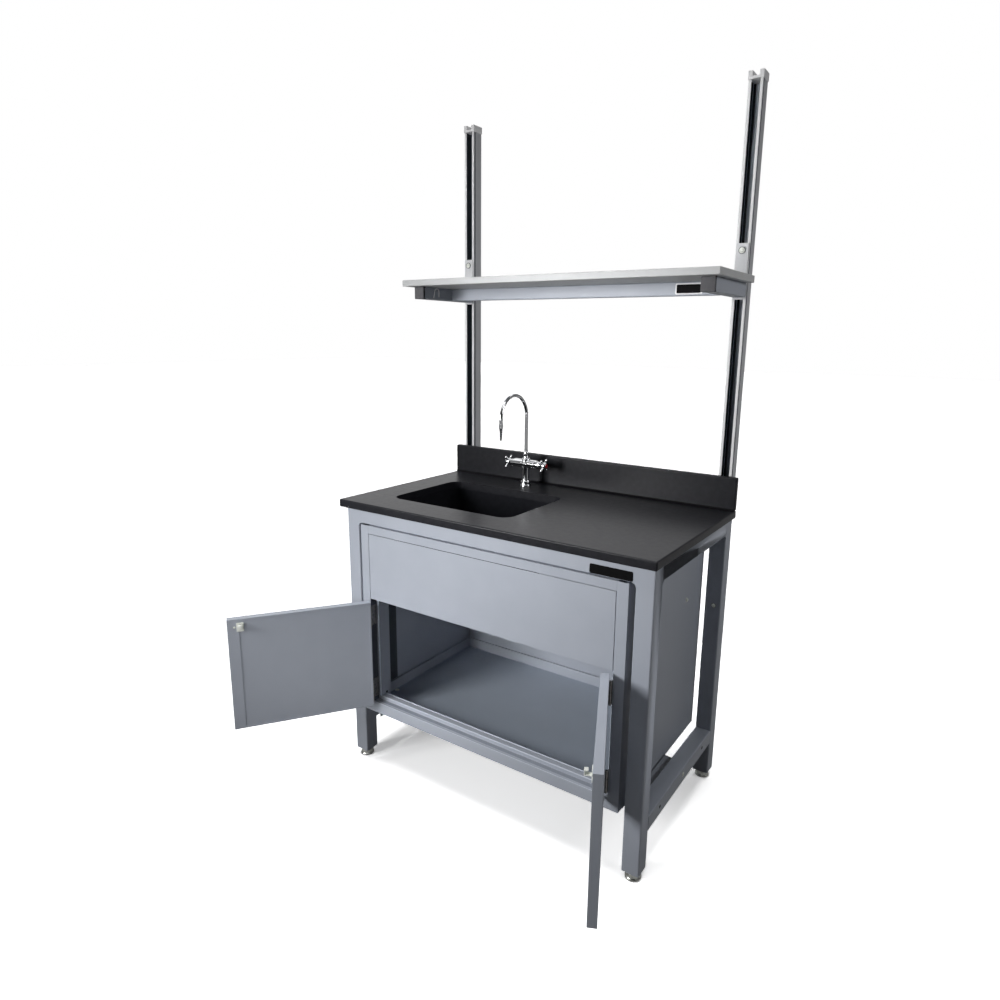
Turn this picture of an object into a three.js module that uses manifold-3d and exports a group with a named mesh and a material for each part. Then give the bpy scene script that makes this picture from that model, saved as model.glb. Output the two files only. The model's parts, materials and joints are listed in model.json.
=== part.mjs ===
// Laboratory sink unit: steel bench frame, hung cabinet with two doors, resin worktop with an
// undermount bowl and a mixing faucet, and two slotted uprights that carry an adjustable shelf.
// Millimetres, +Z up, front toward -Y. The doors rest open.
import * as THREE from 'three';
import { mergeVertices } from 'three/addons/utils/BufferGeometryUtils.js';
import Module from 'manifold-3d';

const wasm = await Module();
wasm.setup();

// driving sizes
const fitGap = 0.3;             // clearance round pins, stems and shanks
const seatGap = 0.15;           // between pieces fixed to a swung door
const topWidth = 1067;          // worktop, along X
const topDepth = 612;           // worktop, along Y
const topHeight = 902;          // floor to worktop surface
const topThick = 25;            // worktop slab
const splashHeight = 102;       // backsplash above the worktop
const splashThick = 20;
const edgeRound = 4;            // eased edges of the slab
const legSize = 50;             // square leg tube
const legWall = 2.5;
const legRound = 4;
const endOverhang = 11;         // worktop end past the legs
const frontOverhang = 23;       // worktop front past the legs
const rearProud = 4;            // leg backs past the worktop
const legBottom = 25;           // leg end above the floor
const railHeight = 48;          // top rails
const railThick = 30;
const stretcherHeight = 45;
const stretcherBottom = 133;    // underside of the end stretchers
const footRadius = 22.5;
const footRim = 6;              // thick edge of the foot
const footNeck = 19.5;          // foot body above its edge
const footHeight = 21;
const stemRadius = 6;
const stemLength = 70;
const cabinetMargin = 75;       // worktop end to cabinet side
const faceProud = 6.5;          // cabinet front ahead of the leg fronts
const cabinetClear = 48.5;      // cabinet back ahead of the leg backs
const cabinetBottom = 194;      // cabinet underside above the floor
const cabinetDrop = 1;          // gap below the front rail
const sheet = 1.5;              // cabinet sheet steel
const stileWidth = 32;
const headHeight = 26;          // strip above the fixed panel
const panelHeight = 214;        // fixed front panel
const reveal = 1.5;             // line round the fixed panel
const sillHeight = 35;          // front of the bottom rail
const rabbetDepth = 24.5;       // face to door stop
const stopWidth = 12;           // door stop lip
const stopDepth = 44;           // door stop back to its rear edge
const floorRise = 18;           // cabinet floor above the cabinet underside
const floorFlange = 28;
const hangWidth = 48;           // hanging flange reaching under the end rails
const doorThick = 22;
const doorSheet = 1.2;
const doorGap = 2.5;            // round the doors
const hingeGap = 6;             // door edge to stile at the hinge side
const doorFlange = 33;          // inner flange at the free edge
const doorRim = 6;              // inner flange at the other edges
const leftOpen = 125;           // degrees open at rest
const rightOpen = 115;
const hingeHeight = 66;
const hingeLeaf = 2.2;
const hingeReach = 22;
const knuckleRadius = 4;
const pinRadius = 2;
const hingeInsetHigh = 23;      // door top to the upper hinge
const hingeInsetLow = 12;       // door bottom to the lower hinge
const catchInset = 36;          // catch from the free edge of the door
const catchDrop = 25;           // catch below the door top
const catchReach = 18;
const bowlLeft = 115;           // bowl cut-out from the left worktop end
const bowlFront = 113;          // bowl cut-out from the worktop front
const bowlBack = 172;           // bowl cut-out to the worktop back
const bowlWidth = 451;
const bowlRound = 40;
const bowlDrop = 190;           // worktop underside to bowl floor
const bowlWall = 8;
const bowlLip = 14;             // flange under the worktop
const bowlReveal = 3;           // bowl set back from the cut-out
const drainRadius = 44;
const tailRadius = 21;
const tailLength = 90;
const faucetX = 360;            // faucet from the left worktop end
const faucetBack = 88;          // faucet to the worktop back
const baseRadius = 19;
const baseHeight = 22;
const columnRadius = 12;
const crossHeight = 78;         // worktop to the cross body axis
const crossRadius = 15;
const crossLength = 120;
const shankRadius = 13;
const shankDrop = 48;           // shank below the worktop surface
const collarRadius = 9.5;
const collarHeight = 26;
const spoutRadius = 6;
const spoutRise = 163;          // cross body top to the bend
const spoutBend = 76;           // bend radius of the gooseneck
const spoutFall = 12;           // straight end below the bend
const nozzleLength = 54;
const handleReach = 24;
const handleHub = 11;
const handleLength = 22;
const uprightWidth = 40;
const uprightDepth = 44;
const uprightWall = 3;
const uprightLip = 8;
const uprightInset = 24;        // upright to the worktop end
const uprightBottom = 470;
const uprightTop = 2100;
const capHeight = 22;
const capOver = 2;
const shelfTop = 1586;
const shelfThick = 20;
const shelfWidth = 1062;
const shelfDepth = 305;
const armSize = 39;
const armWall = 2;
const armFront = 38;            // arm end behind the shelf front
const shelfRailBack = 120;      // rear rail face ahead of the bracket plates
const plateThick = 4;
const plateAbove = 90;          // bracket plate above the shelf
const plateBelow = 6;           // bracket plate below the arm

// derived places
const halfWidth = topWidth / 2;
const topUnder = topHeight - topThick;
const legX = halfWidth - endOverhang;
const legFront = frontOverhang;
const legBack = topDepth + rearProud;
const railBottom = topUnder - railHeight;
const faceY = legFront - faceProud;
const cabX = halfWidth - cabinetMargin;
const cabTop = railBottom - cabinetDrop;
const cabBack = legBack - cabinetClear;
const openX = cabX - stileWidth;
const panelTop = cabTop - headHeight;
const openTop = panelTop - panelHeight;
const openBottom = cabinetBottom + sillHeight;
const stopY = faceY + rabbetDepth;
const stopBack = stopY + stopDepth;
const stopX = openX - stopWidth;
const floorTop = cabinetBottom + floorRise;
const uprightY = legBack;
const uprightX = halfWidth - uprightInset - uprightWidth / 2;
const shelfUnder = shelfTop - shelfThick;
const plateFront = uprightY - plateThick;
const shelfFront = plateFront - shelfDepth;
const armBottom = shelfUnder - armSize;

// colours of the finishes
const paint = { color: 0xa9b0bb, roughness: 0.45, metalness: 0.0 };
const resin = { color: 0x1d1e20, roughness: 0.4, metalness: 0.0 };
const chrome = { color: 0xd9dcdf, roughness: 0.08, metalness: 1.0 };
const zinc = { color: 0xb9bab6, roughness: 0.35, metalness: 1.0 };
const steel = { color: 0x4a4845, roughness: 0.4, metalness: 1.0 };
const alloy = { color: 0x9b9ca2, roughness: 0.4, metalness: 0.8 };
const whitePlastic = { color: 0xe4e4e6, roughness: 0.5, metalness: 0.0 };
const laminate = { color: 0xdcdcde, roughness: 0.5, metalness: 0.0 };
const red = { color: 0xa02024, roughness: 0.4, metalness: 0.0 };
const blue = { color: 0x24429c, roughness: 0.4, metalness: 0.0 };

const group = new THREE.Group();

// a solid for cutting and joining, from a closed three.js shape
function solid(geometry) {
  const plain = geometry.index ? geometry.clone() : geometry;
  plain.deleteAttribute('normal');
  plain.deleteAttribute('uv');
  const welded = mergeVertices(plain, 1e-3);
  const mesh = new wasm.Mesh({
    numProp: 3,
    vertProperties: new Float32Array(welded.attributes.position.array),
    triVerts: new Uint32Array(welded.index.array),
  });
  return new wasm.Manifold(mesh);
}

function toGeometry(body) {
  const mesh = body.getMesh();
  const geometry = new THREE.BufferGeometry();
  geometry.setAttribute('position', new THREE.BufferAttribute(new Float32Array(mesh.vertProperties), 3));
  geometry.setIndex(new THREE.BufferAttribute(new Uint32Array(mesh.triVerts), 1));
  const flat = geometry.toNonIndexed();
  flat.computeVertexNormals();
  return flat;
}

function add(name, shape, finish) {
  const geometry = shape.isBufferGeometry ? shape : toGeometry(shape);
  const mesh = new THREE.Mesh(geometry, new THREE.MeshStandardMaterial(finish));
  mesh.name = name;
  group.add(mesh);
  return mesh;
}

function box(x0, x1, y0, y1, z0, z1) {
  const geometry = new THREE.BoxGeometry(x1 - x0, y1 - y0, z1 - z0);
  geometry.translate((x0 + x1) / 2, (y0 + y1) / 2, (z0 + z1) / 2);
  return geometry;
}

function joined(pieces) {
  return pieces.map(solid).reduce((sum, piece) => sum.add(piece));
}

function roundRect(width, height, radius) {
  const x = width / 2;
  const y = height / 2;
  const shape = new THREE.Shape();
  shape.moveTo(-x + radius, -y);
  shape.lineTo(x - radius, -y);
  shape.absarc(x - radius, -y + radius, radius, -Math.PI / 2, 0);
  shape.lineTo(x, y - radius);
  shape.absarc(x - radius, y - radius, radius, 0, Math.PI / 2);
  shape.lineTo(-x + radius, y);
  shape.absarc(-x + radius, y - radius, radius, Math.PI / 2, Math.PI);
  shape.lineTo(-x, -y + radius);
  shape.absarc(-x + radius, -y + radius, radius, Math.PI, Math.PI * 1.5);
  return shape;
}

// a rounded block standing along Z
function block(width, depth, radius, height, segments = 5) {
  return new THREE.ExtrudeGeometry(roundRect(width, depth, radius), {
    depth: height, bevelEnabled: false, curveSegments: segments,
  });
}

// a rectangular tube along Z with open ends
function tubeZ(width, depth, wall, radius, height) {
  const shape = roundRect(width, depth, radius);
  shape.holes.push(roundRect(width - 2 * wall, depth - 2 * wall, Math.max(0.5, radius - wall)));
  return new THREE.ExtrudeGeometry(shape, { depth: height, bevelEnabled: false, curveSegments: 3 });
}

function tubeX(x0, x1, y, z, depth, height, wall) {
  const geometry = tubeZ(height, depth, wall, legRound, x1 - x0);
  geometry.rotateY(Math.PI / 2);
  return geometry.translate(x0, y, z);
}

function tubeY(y0, y1, x, z, width, height, wall) {
  const geometry = tubeZ(width, height, wall, legRound, y1 - y0);
  geometry.rotateX(-Math.PI / 2);
  return geometry.translate(x, y0, z);
}

// a turned body about Z from radius and height pairs
function turned(profile, segments = 32) {
  const points = profile.map(([r, z]) => new THREE.Vector2(r, z));
  return new THREE.LatheGeometry(points, segments).rotateX(Math.PI / 2);
}

function cylinder(radius, z0, z1, segments = 32) {
  return turned([[0, z0], [radius, z0], [radius, z1], [0, z1]], segments);
}

function alongX(geometry) {
  return geometry.rotateY(Math.PI / 2);
}

// bench frame
for (const [side, sx] of [['left', -1], ['right', 1]]) {
  for (const [end, y] of [['front', legFront + legSize / 2], ['rear', legBack - legSize / 2]]) {
    const x = sx * (legX - legSize / 2);
    const plate = block(legSize - legWall, legSize - legWall, legRound, 4).translate(x, y, legBottom);
    const bore = cylinder(stemRadius + fitGap, legBottom - 1, legBottom + 6, 24).translate(x, y, 0);
    const tube = tubeZ(legSize, legSize, legWall, legRound, topUnder - legBottom).translate(x, y, legBottom);
    add(`leg_${end}_${side}`, solid(tube).add(solid(plate)).subtract(solid(bore)), paint);
    const foot = turned([[0, 0], [footRadius - 1.5, 0], [footRadius, 1.5], [footRadius, footRim],
      [footNeck + 1, footRim + 2], [footNeck, footRim + 4], [footNeck - 0.5, footHeight - 3],
      [footNeck - 4, footHeight], [stemRadius, footHeight], [stemRadius, stemLength], [0, stemLength]]);
    add(`foot_${end}_${side}`, foot.translate(x, y, 0), zinc);
  }
  const y0 = legFront + legSize;
  const y1 = legBack - legSize;
  const railX = sx * (legX - railThick / 2);
  const railZ = topUnder - railHeight / 2;
  add(`end_rail_${side}`, tubeY(y0, y1, railX, railZ, railThick, railHeight, legWall), paint);
  const lowX = sx * (legX - legSize / 2);
  const lowZ = stretcherBottom + stretcherHeight / 2;
  add(`stretcher_${side}`, tubeY(y0, y1, lowX, lowZ, legSize, stretcherHeight, legWall), paint);
}
const innerX = legX - legSize;
const railMid = topUnder - railHeight / 2;
for (const [end, y] of [['front', legFront + railThick / 2], ['rear', legBack - railThick / 2]]) {
  add(`rail_${end}`, tubeX(-innerX, innerX, y, railMid, railThick, railHeight, legWall), paint);
}

// worktop with eased edges, bowl cut-out and faucet hole
const bowlDepth = topDepth - bowlFront - bowlBack;
const bowlX = -halfWidth + bowlLeft + bowlWidth / 2;
const bowlY = bowlFront + bowlDepth / 2;
const tapX = -halfWidth + faucetX;
const tapY = topDepth - faucetBack;
function slab(width, depth, thick, round) {
  const shape = roundRect(width - 2 * round, depth - 2 * round, 0.5);
  return new THREE.ExtrudeGeometry(shape, {
    depth: thick - 2 * round,
    bevelEnabled: true,
    bevelSize: round,
    bevelThickness: round,
    bevelSegments: 3,
    curveSegments: 2,
  }).translate(0, 0, round);
}
const slabBody = slab(topWidth, topDepth, topThick, edgeRound).translate(0, topDepth / 2, topUnder);
const bowlCut = block(bowlWidth, bowlDepth, bowlRound, topThick + 4, 8).translate(bowlX, bowlY, topUnder - 2);
const tapCut = cylinder(shankRadius + fitGap, topUnder - 2, topHeight + 2).translate(tapX, tapY, 0);
add('worktop', solid(slabBody).subtract(solid(bowlCut)).subtract(solid(tapCut)), resin);
const splash = slab(topWidth, splashHeight, splashThick, edgeRound).rotateX(Math.PI / 2);
add('backsplash', splash.translate(0, topDepth, topHeight + splashHeight / 2), resin);

// bowl under the worktop, with its drain
const innerW = bowlWidth + 2 * bowlReveal;
const innerD = bowlDepth + 2 * bowlReveal;
const innerR = bowlRound + bowlReveal;
const bowlFloor = topUnder - bowlDrop;
const bowlUnder = bowlFloor - bowlWall;
const lipOut = bowlWall + bowlLip;
const lipThick = 10;
const outerR = innerR + bowlWall;
const shell = block(innerW + 2 * bowlWall, innerD + 2 * bowlWall, outerR, bowlDrop + bowlWall, 8);
const lip = block(innerW + 2 * lipOut, innerD + 2 * lipOut, outerR, lipThick, 8);
const hollow = block(innerW, innerD, innerR, bowlDrop + 1, 8);
const drainHole = cylinder(drainRadius + fitGap, bowlUnder - 1, bowlFloor + 1);
const bowl = solid(shell.translate(bowlX, bowlY, bowlUnder))
  .add(solid(lip.translate(bowlX, bowlY, topUnder - lipThick)))
  .subtract(solid(hollow.translate(bowlX, bowlY, bowlFloor)))
  .subtract(solid(drainHole.translate(bowlX, bowlY, 0)));
add('sink_bowl', bowl, resin);
const drainLow = bowlUnder - tailLength;
const drain = turned([[tailRadius - 3, drainLow], [tailRadius, drainLow], [tailRadius, bowlFloor - 22],
  [drainRadius, bowlFloor - 16], [drainRadius, bowlFloor], [drainRadius + 8, bowlFloor],
  [drainRadius + 8, bowlFloor + 2], [drainRadius + 2, bowlFloor + 3], [drainRadius - 4, bowlFloor],
  [drainRadius - 6, bowlFloor - 11], [tailRadius - 3, bowlFloor - 16], [tailRadius - 3, drainLow]], 40);
add('sink_drain', drain.translate(bowlX, bowlY, 0), steel);

// mixing faucet: body with shank, nut, gooseneck, nozzle and two handles
const crossZ = topHeight + crossHeight;
const neckTop = crossZ + crossRadius + 4;
const column = turned([[0, topHeight], [baseRadius, topHeight], [baseRadius, topHeight + 5],
  [baseRadius - 2, topHeight + 8], [baseRadius - 3, topHeight + baseHeight - 3],
  [columnRadius + 1, topHeight + baseHeight], [columnRadius, topHeight + baseHeight + 3],
  [columnRadius, crossZ], [columnRadius, neckTop], [0, neckTop]]);
const crossEnd = crossLength / 2;
const cross = alongX(turned([[0, -crossEnd], [crossRadius - 4, -crossEnd], [crossRadius - 3, -crossEnd + 12],
  [crossRadius, -crossEnd + 16], [crossRadius, crossEnd - 16], [crossRadius - 3, crossEnd - 12],
  [crossRadius - 4, crossEnd], [0, crossEnd]]));
const shank = cylinder(shankRadius, topHeight - shankDrop, topHeight + 1);
const socket = cylinder(spoutRadius + fitGap, neckTop - 14, neckTop + 1, 24);
const tap = solid(column)
  .add(solid(cross.translate(0, 0, crossZ)))
  .add(solid(shank))
  .subtract(solid(socket));
add('faucet_body', tap.translate(tapX, tapY, 0), chrome);
const nutBore = shankRadius + fitGap;
const nut = turned([[nutBore, topUnder - 14], [shankRadius + 9, topUnder - 14], [shankRadius + 9, topUnder - 4],
  [shankRadius + 12, topUnder - 4], [shankRadius + 12, topUnder], [nutBore, topUnder],
  [nutBore, topUnder - 14]], 24);
add('faucet_nut', nut.translate(tapX, tapY, 0), steel);
const bendZ = crossZ + spoutRise;
const spoutPath = new THREE.CurvePath();
const riser = [new THREE.Vector3(0, 0, neckTop - 13), new THREE.Vector3(0, 0, bendZ)];
spoutPath.add(new THREE.LineCurve3(...riser));
class Bend extends THREE.Curve {
  getPoint(t, target = new THREE.Vector3()) {
    const angle = Math.PI * t;
    return target.set(0, -spoutBend + spoutBend * Math.cos(angle), bendZ + spoutBend * Math.sin(angle));
  }
}
spoutPath.add(new Bend());
const tipY = -2 * spoutBend;
const spoutEnd = bendZ - spoutFall;
const fall = [new THREE.Vector3(0, tipY, bendZ), new THREE.Vector3(0, tipY, spoutEnd)];
spoutPath.add(new THREE.LineCurve3(...fall));
const ring = new THREE.Shape();
ring.absarc(0, 0, spoutRadius, 0, Math.PI * 2);
const pipe = new THREE.ExtrudeGeometry(ring, {
  steps: 60, extrudePath: spoutPath, bevelEnabled: false, curveSegments: 10,
});
const collarLow = neckTop + fitGap;
const collarTop = neckTop + collarHeight;
const collar = turned([[0, collarLow], [collarRadius, collarLow], [collarRadius, collarTop - 4],
  [spoutRadius + 1, collarTop], [0, collarTop]], 24);
add('gooseneck', solid(pipe).add(solid(collar)).translate(tapX, tapY, 0), chrome);
const nozzleRings = [[0, spoutEnd], [spoutRadius, spoutEnd], [spoutRadius + 1.5, spoutEnd - 1],
  [spoutRadius + 1.5, spoutEnd - 14], [spoutRadius - 0.5, spoutEnd - 16]];
const barbs = 6;
const barbStep = (nozzleLength - 18) / barbs;
for (let i = 0; i < barbs; i += 1) {
  const z = spoutEnd - 18 - i * barbStep;
  const wide = spoutRadius - 0.2 - 0.35 * i;
  nozzleRings.push([wide - 0.9, z], [wide, z - 0.8], [wide - 0.9, z - barbStep + 0.6]);
}
nozzleRings.push([spoutRadius - 3.4, spoutEnd - nozzleLength], [0, spoutEnd - nozzleLength]);
add('nozzle', turned(nozzleRings.reverse(), 20).translate(tapX, tapY + tipY, 0), chrome);
for (const [name, sx, finish] of [['cold', -1, blue], ['hot', 1, red]]) {
  const end = crossEnd + fitGap;
  const face = end + handleLength;
  const hub = alongX(turned([[0, end], [handleHub - 2, end], [handleHub, end + 4], [handleHub, face - 5],
    [handleHub - 3, face], [0, face]], 24));
  let handle = solid(hub);
  for (let arm = 0; arm < 4; arm += 1) {
    const spoke = turned([[0, 0], [4.2, 0], [3.4, handleReach - 6], [5, handleReach - 2],
      [3.6, handleReach + 2], [0, handleReach + 3]], 16);
    spoke.rotateX(Math.PI / 4 + arm * Math.PI / 2).translate(end + handleLength / 2 + 1, 0, 0);
    handle = handle.add(solid(spoke));
  }
  const place = [tapX, tapY, crossZ];
  const turnBy = sx > 0 ? 0 : 180;
  add(`handle_${name}`, handle.rotate([0, 0, turnBy]).translate(place), chrome);
  const disc = alongX(cylinder(handleHub - 4, face, face + 1.5, 24));
  add(`index_${name}`, solid(disc).rotate([0, 0, turnBy]).translate(place), finish);
}

// cabinet carcase, hung from the end rails
const faceBack = faceY + sheet;
for (const [side, sx] of [['left', -1], ['right', 1]]) {
  const span = (a, b) => (sx > 0 ? [a, b] : [-b, -a]);
  const plate = (a, b, y0, y1, z0, z1) => box(...span(a, b), y0, y1, z0, z1);
  const wallX = cabX - sheet;
  const hangFront = legFront + legSize + 20;
  const hangBack = legBack - legSize - 60;
  add(`cabinet_side_${side}`, joined([
    plate(wallX - sheet, wallX, faceBack, cabBack, cabinetBottom, railBottom),
    plate(wallX - sheet, wallX + hangWidth, hangFront, hangBack, railBottom - sheet, railBottom),
  ]), paint);
  add(`stile_${side}`, joined([
    plate(openX, cabX, faceY, faceBack, cabinetBottom, cabTop),
    plate(wallX, cabX, faceY, faceY + 30, cabinetBottom, cabTop),
    plate(openX, openX + sheet, faceY, stopY + sheet, cabinetBottom, cabTop),
    plate(stopX, openX + sheet, stopY, stopY + sheet, cabinetBottom, cabTop),
    plate(stopX, stopX + sheet, stopY, stopBack, cabinetBottom, cabTop),
  ]), paint);
}
const wallIn = cabX - 2 * sheet;
add('cabinet_back', box(-wallIn, wallIn, cabBack - sheet, cabBack, cabinetBottom, cabTop), paint);
const trayFront = stopBack + 1;
const trayBack = cabBack - sheet;
const trayTop = floorTop + floorFlange;
const trayIn = wallIn - sheet;
const tray = solid(box(-wallIn, wallIn, trayFront, trayBack, floorTop - sheet, trayTop));
const trayHollow = solid(box(-trayIn, trayIn, trayFront - 1, trayBack - sheet, floorTop, trayTop + 1));
add('cabinet_floor', tray.subtract(trayHollow), paint);
add('head_rail', joined([
  box(-openX, openX, faceY, faceBack, panelTop, cabTop),
  box(-openX, openX, faceY, stopY, panelTop, panelTop + sheet),
  box(-openX, openX, faceY, stopY, cabTop - sheet, cabTop),
]), paint);
const sillTop = openBottom + stopWidth;
add('bottom_rail', joined([
  box(-openX, openX, faceY, faceBack, cabinetBottom, openBottom),
  box(-openX, openX, faceY, stopY, openBottom - sheet, openBottom),
  box(-openX, openX, faceY, stopY, cabinetBottom, cabinetBottom + sheet),
  box(-stopX, stopX, stopY - sheet, stopY + sheet, openBottom - sheet, sillTop),
  box(-stopX, stopX, stopY, trayFront + sheet, sillTop - sheet, sillTop),
  box(-stopX, stopX, trayFront, trayFront + sheet, floorTop, sillTop),
]), paint);
const panelX = openX - reveal;
const panelHigh = panelTop - reveal;
add('front_panel', joined([
  box(-panelX, panelX, faceY, faceBack, openTop, panelHigh),
  box(-panelX, -panelX + sheet, faceY, stopY, openTop, panelHigh),
  box(panelX - sheet, panelX, faceY, stopY, openTop, panelHigh),
  box(-panelX, panelX, faceY, stopY, openTop, openTop + sheet),
  box(-stopX, stopX, stopY - sheet, stopY + sheet, openTop - stopWidth, openTop + sheet),
  box(-stopX, stopX, stopY, stopBack, openTop - stopWidth, openTop - stopWidth + sheet),
]), paint);

// doors with butt hinges and a catch, built closed and then swung open about the hinge pins
const pinX = openX - hingeGap / 2;
const pinY = faceY - knuckleRadius - 0.4;
const doorLow = openBottom + doorGap;
const doorHigh = openTop - doorGap;
const doorX = openX - hingeGap;
const doorBack = faceY + doorThick;
const freeX = doorGap / 2;
for (const [side, sx, open] of [['left', -1, leftOpen], ['right', 1, rightOpen]]) {
  // written for the right side and mirrored for the left
  const place = (body) => {
    const swung = body.translate([-pinX, -pinY, 0]).rotate([0, 0, open]).translate([pinX, pinY, 0]);
    return sx > 0 ? swung : swung.mirror([1, 0, 0]);
  };
  const still = (body) => (sx > 0 ? body : body.mirror([1, 0, 0]));
  const pan = solid(box(freeX, doorX, faceY, doorBack, doorLow, doorHigh))
    .subtract(solid(box(freeX + doorSheet, doorX - doorSheet, faceY + doorSheet, doorBack - doorSheet,
      doorLow + doorSheet, doorHigh - doorSheet)))
    .subtract(solid(box(freeX + doorFlange, doorX - doorRim, doorBack - 2 * doorSheet, doorBack + 1,
      doorLow + doorRim, doorHigh - doorRim)));
  add(`door_${side}`, place(pan), paint);
  const lap = doorRim / 2;
  const linerFace = doorBack - doorSheet - seatGap;
  const liner = solid(box(freeX + doorFlange - lap, doorX - doorRim + lap, linerFace - doorSheet, linerFace,
    doorLow + doorRim - lap, doorHigh - doorRim + lap));
  add(`door_liner_${side}`, place(liner), paint);
  const catchX = freeX + catchInset;
  const catchZ = doorHigh - catchDrop;
  const seat = doorBack + seatGap;
  const tip = doorBack + catchReach;
  const strike = joined([
    box(catchX - 10, catchX + 10, seat, seat + 2, catchZ - 14, catchZ + 14),
    box(catchX - 6, catchX + 6, seat, tip, catchZ - 3, catchZ - 0.5),
    box(catchX - 6, catchX + 6, tip - 2.5, tip, catchZ - 3, catchZ + 10),
    box(catchX - 6, catchX + 6, tip - 9, tip, catchZ + 7.5, catchZ + 10),
  ]);
  add(`catch_${side}`, place(strike), zinc);
  const hingeZ = [['upper', doorHigh - hingeInsetHigh - hingeHeight], ['lower', doorLow + hingeInsetLow]];
  for (const [level, z0] of hingeZ) {
    const third = hingeHeight / 3;
    const knuckle = (a, b) => solid(cylinder(knuckleRadius, a, b, 20).translate(pinX, pinY, 0));
    const leafY = pinY + knuckleRadius + fitGap;
    const reach = leafY + hingeReach;
    const frameLeafX = openX - hingeLeaf;
    const doorLeafX = doorX + hingeLeaf;
    const lowEnd = z0 + third - fitGap;
    const highStart = z0 + 2 * third + fitGap;
    const frameHalf = joined([
      box(frameLeafX, openX, leafY, reach, z0, z0 + hingeHeight),
      box(frameLeafX, openX, pinY, leafY + 1, z0, lowEnd),
      box(frameLeafX, openX, pinY, leafY + 1, highStart, z0 + hingeHeight),
    ]).add(knuckle(z0, lowEnd)).add(knuckle(highStart, z0 + hingeHeight))
      .add(solid(cylinder(pinRadius, z0, z0 + hingeHeight, 20).translate(pinX, pinY, 0)));
    add(`hinge_${level}_${side}`, still(frameHalf), steel);
    const doorHalf = joined([
      box(doorX + seatGap, doorLeafX, leafY, reach, z0, z0 + hingeHeight),
      box(doorX + seatGap, doorLeafX, pinY, leafY + 1, z0 + third, z0 + 2 * third),
    ]).add(knuckle(z0 + third, z0 + 2 * third))
      .subtract(solid(cylinder(pinRadius + fitGap, z0, z0 + hingeHeight, 20).translate(pinX, pinY, 0)));
    add(`hinge_leaf_${level}_${side}`, place(doorHalf), steel);
  }
}

// slotted uprights with caps, and the shelf that slides on them
const slotHalf = uprightWidth / 2 - uprightLip;
function channel(height) {
  const x = uprightWidth / 2;
  const t = uprightWall;
  const shape = new THREE.Shape();
  const web = uprightDepth - t;
  const points = [[-x, 0], [-slotHalf, 0], [-slotHalf, t], [-x + t, t], [-x + t, web], [x - t, web], [x - t, t],
    [slotHalf, t], [slotHalf, 0], [x, 0], [x, uprightDepth], [-x, uprightDepth]];
  shape.setFromPoints(points.map(([a, b]) => new THREE.Vector2(a, b)));
  return new THREE.ExtrudeGeometry(shape, { depth: height, bevelEnabled: false });
}
for (const [side, sx] of [['left', -1], ['right', 1]]) {
  const x = sx * uprightX;
  add(`upright_${side}`, channel(uprightTop - uprightBottom).translate(x, uprightY, uprightBottom), alloy);
  const capX = uprightWidth / 2 + capOver;
  const notch = slotHalf - 3;
  const capBack = uprightDepth + capOver;
  const cap = solid(box(-capX, capX, -capOver, capBack, 0, capHeight))
    .subtract(solid(box(-notch, notch, -capOver - 1, capBack + 1, capHeight - 14, capHeight + 1)));
  add(`cap_${side}`, cap.translate([x, uprightY, uprightTop]), whitePlastic);
  const armZ = armBottom + armSize / 2;
  add(`shelf_arm_${side}`, tubeY(shelfFront + armFront, plateFront, x, armZ, armSize, armSize, armWall), alloy);
  const half = slotHalf + 5;
  const bolt = new THREE.CylinderGeometry(5, 5, uprightWall + 14, 20).translate(0, uprightWall / 2 + 2, 0);
  const plateTop = shelfTop + plateAbove;
  const nutFront = uprightWall + fitGap;
  const slotNut = box(-half + 1, half - 1, nutFront, nutFront + 8, plateTop - 32, plateTop - 8);
  const plate = solid(box(-half, half, -plateThick, -fitGap, armBottom - plateBelow, plateTop))
    .add(solid(bolt.translate(0, 0, plateTop - 20)))
    .add(solid(slotNut));
  add(`shelf_bracket_${side}`, plate.translate([x, uprightY, 0]), alloy);
}
const railFront = plateFront - shelfRailBack;
const armIn = uprightX - armSize / 2;
const shelfRailY = railFront + armSize / 4;
const shelfRailZ = armBottom + armSize / 2;
add('shelf_rail', tubeX(-armIn, armIn, shelfRailY, shelfRailZ, armSize / 2, armSize, armWall), paint);
const board = slab(shelfWidth, shelfDepth, shelfThick, 2);
add('shelf_board', board.translate(0, shelfFront + shelfDepth / 2, shelfUnder), laminate);

// origin on the floor under the middle of the bounding box
const bounds = new THREE.Box3().setFromObject(group);
const middle = bounds.getCenter(new THREE.Vector3());
for (const mesh of group.children) {
  mesh.geometry.translate(-middle.x, -middle.y, -bounds.min.z);
}

export default group;
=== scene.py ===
"""Looks of a laboratory sink unit: bench frame, hung cabinet with two doors, black resin worktop with a
bowl and a mixing faucet, and a shelf that slides on two slotted uprights. Metres, +Z up, front toward -Y."""
import json
import math
import bmesh
import bpy
import numpy as np
from mathutils import Matrix, Vector


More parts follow.
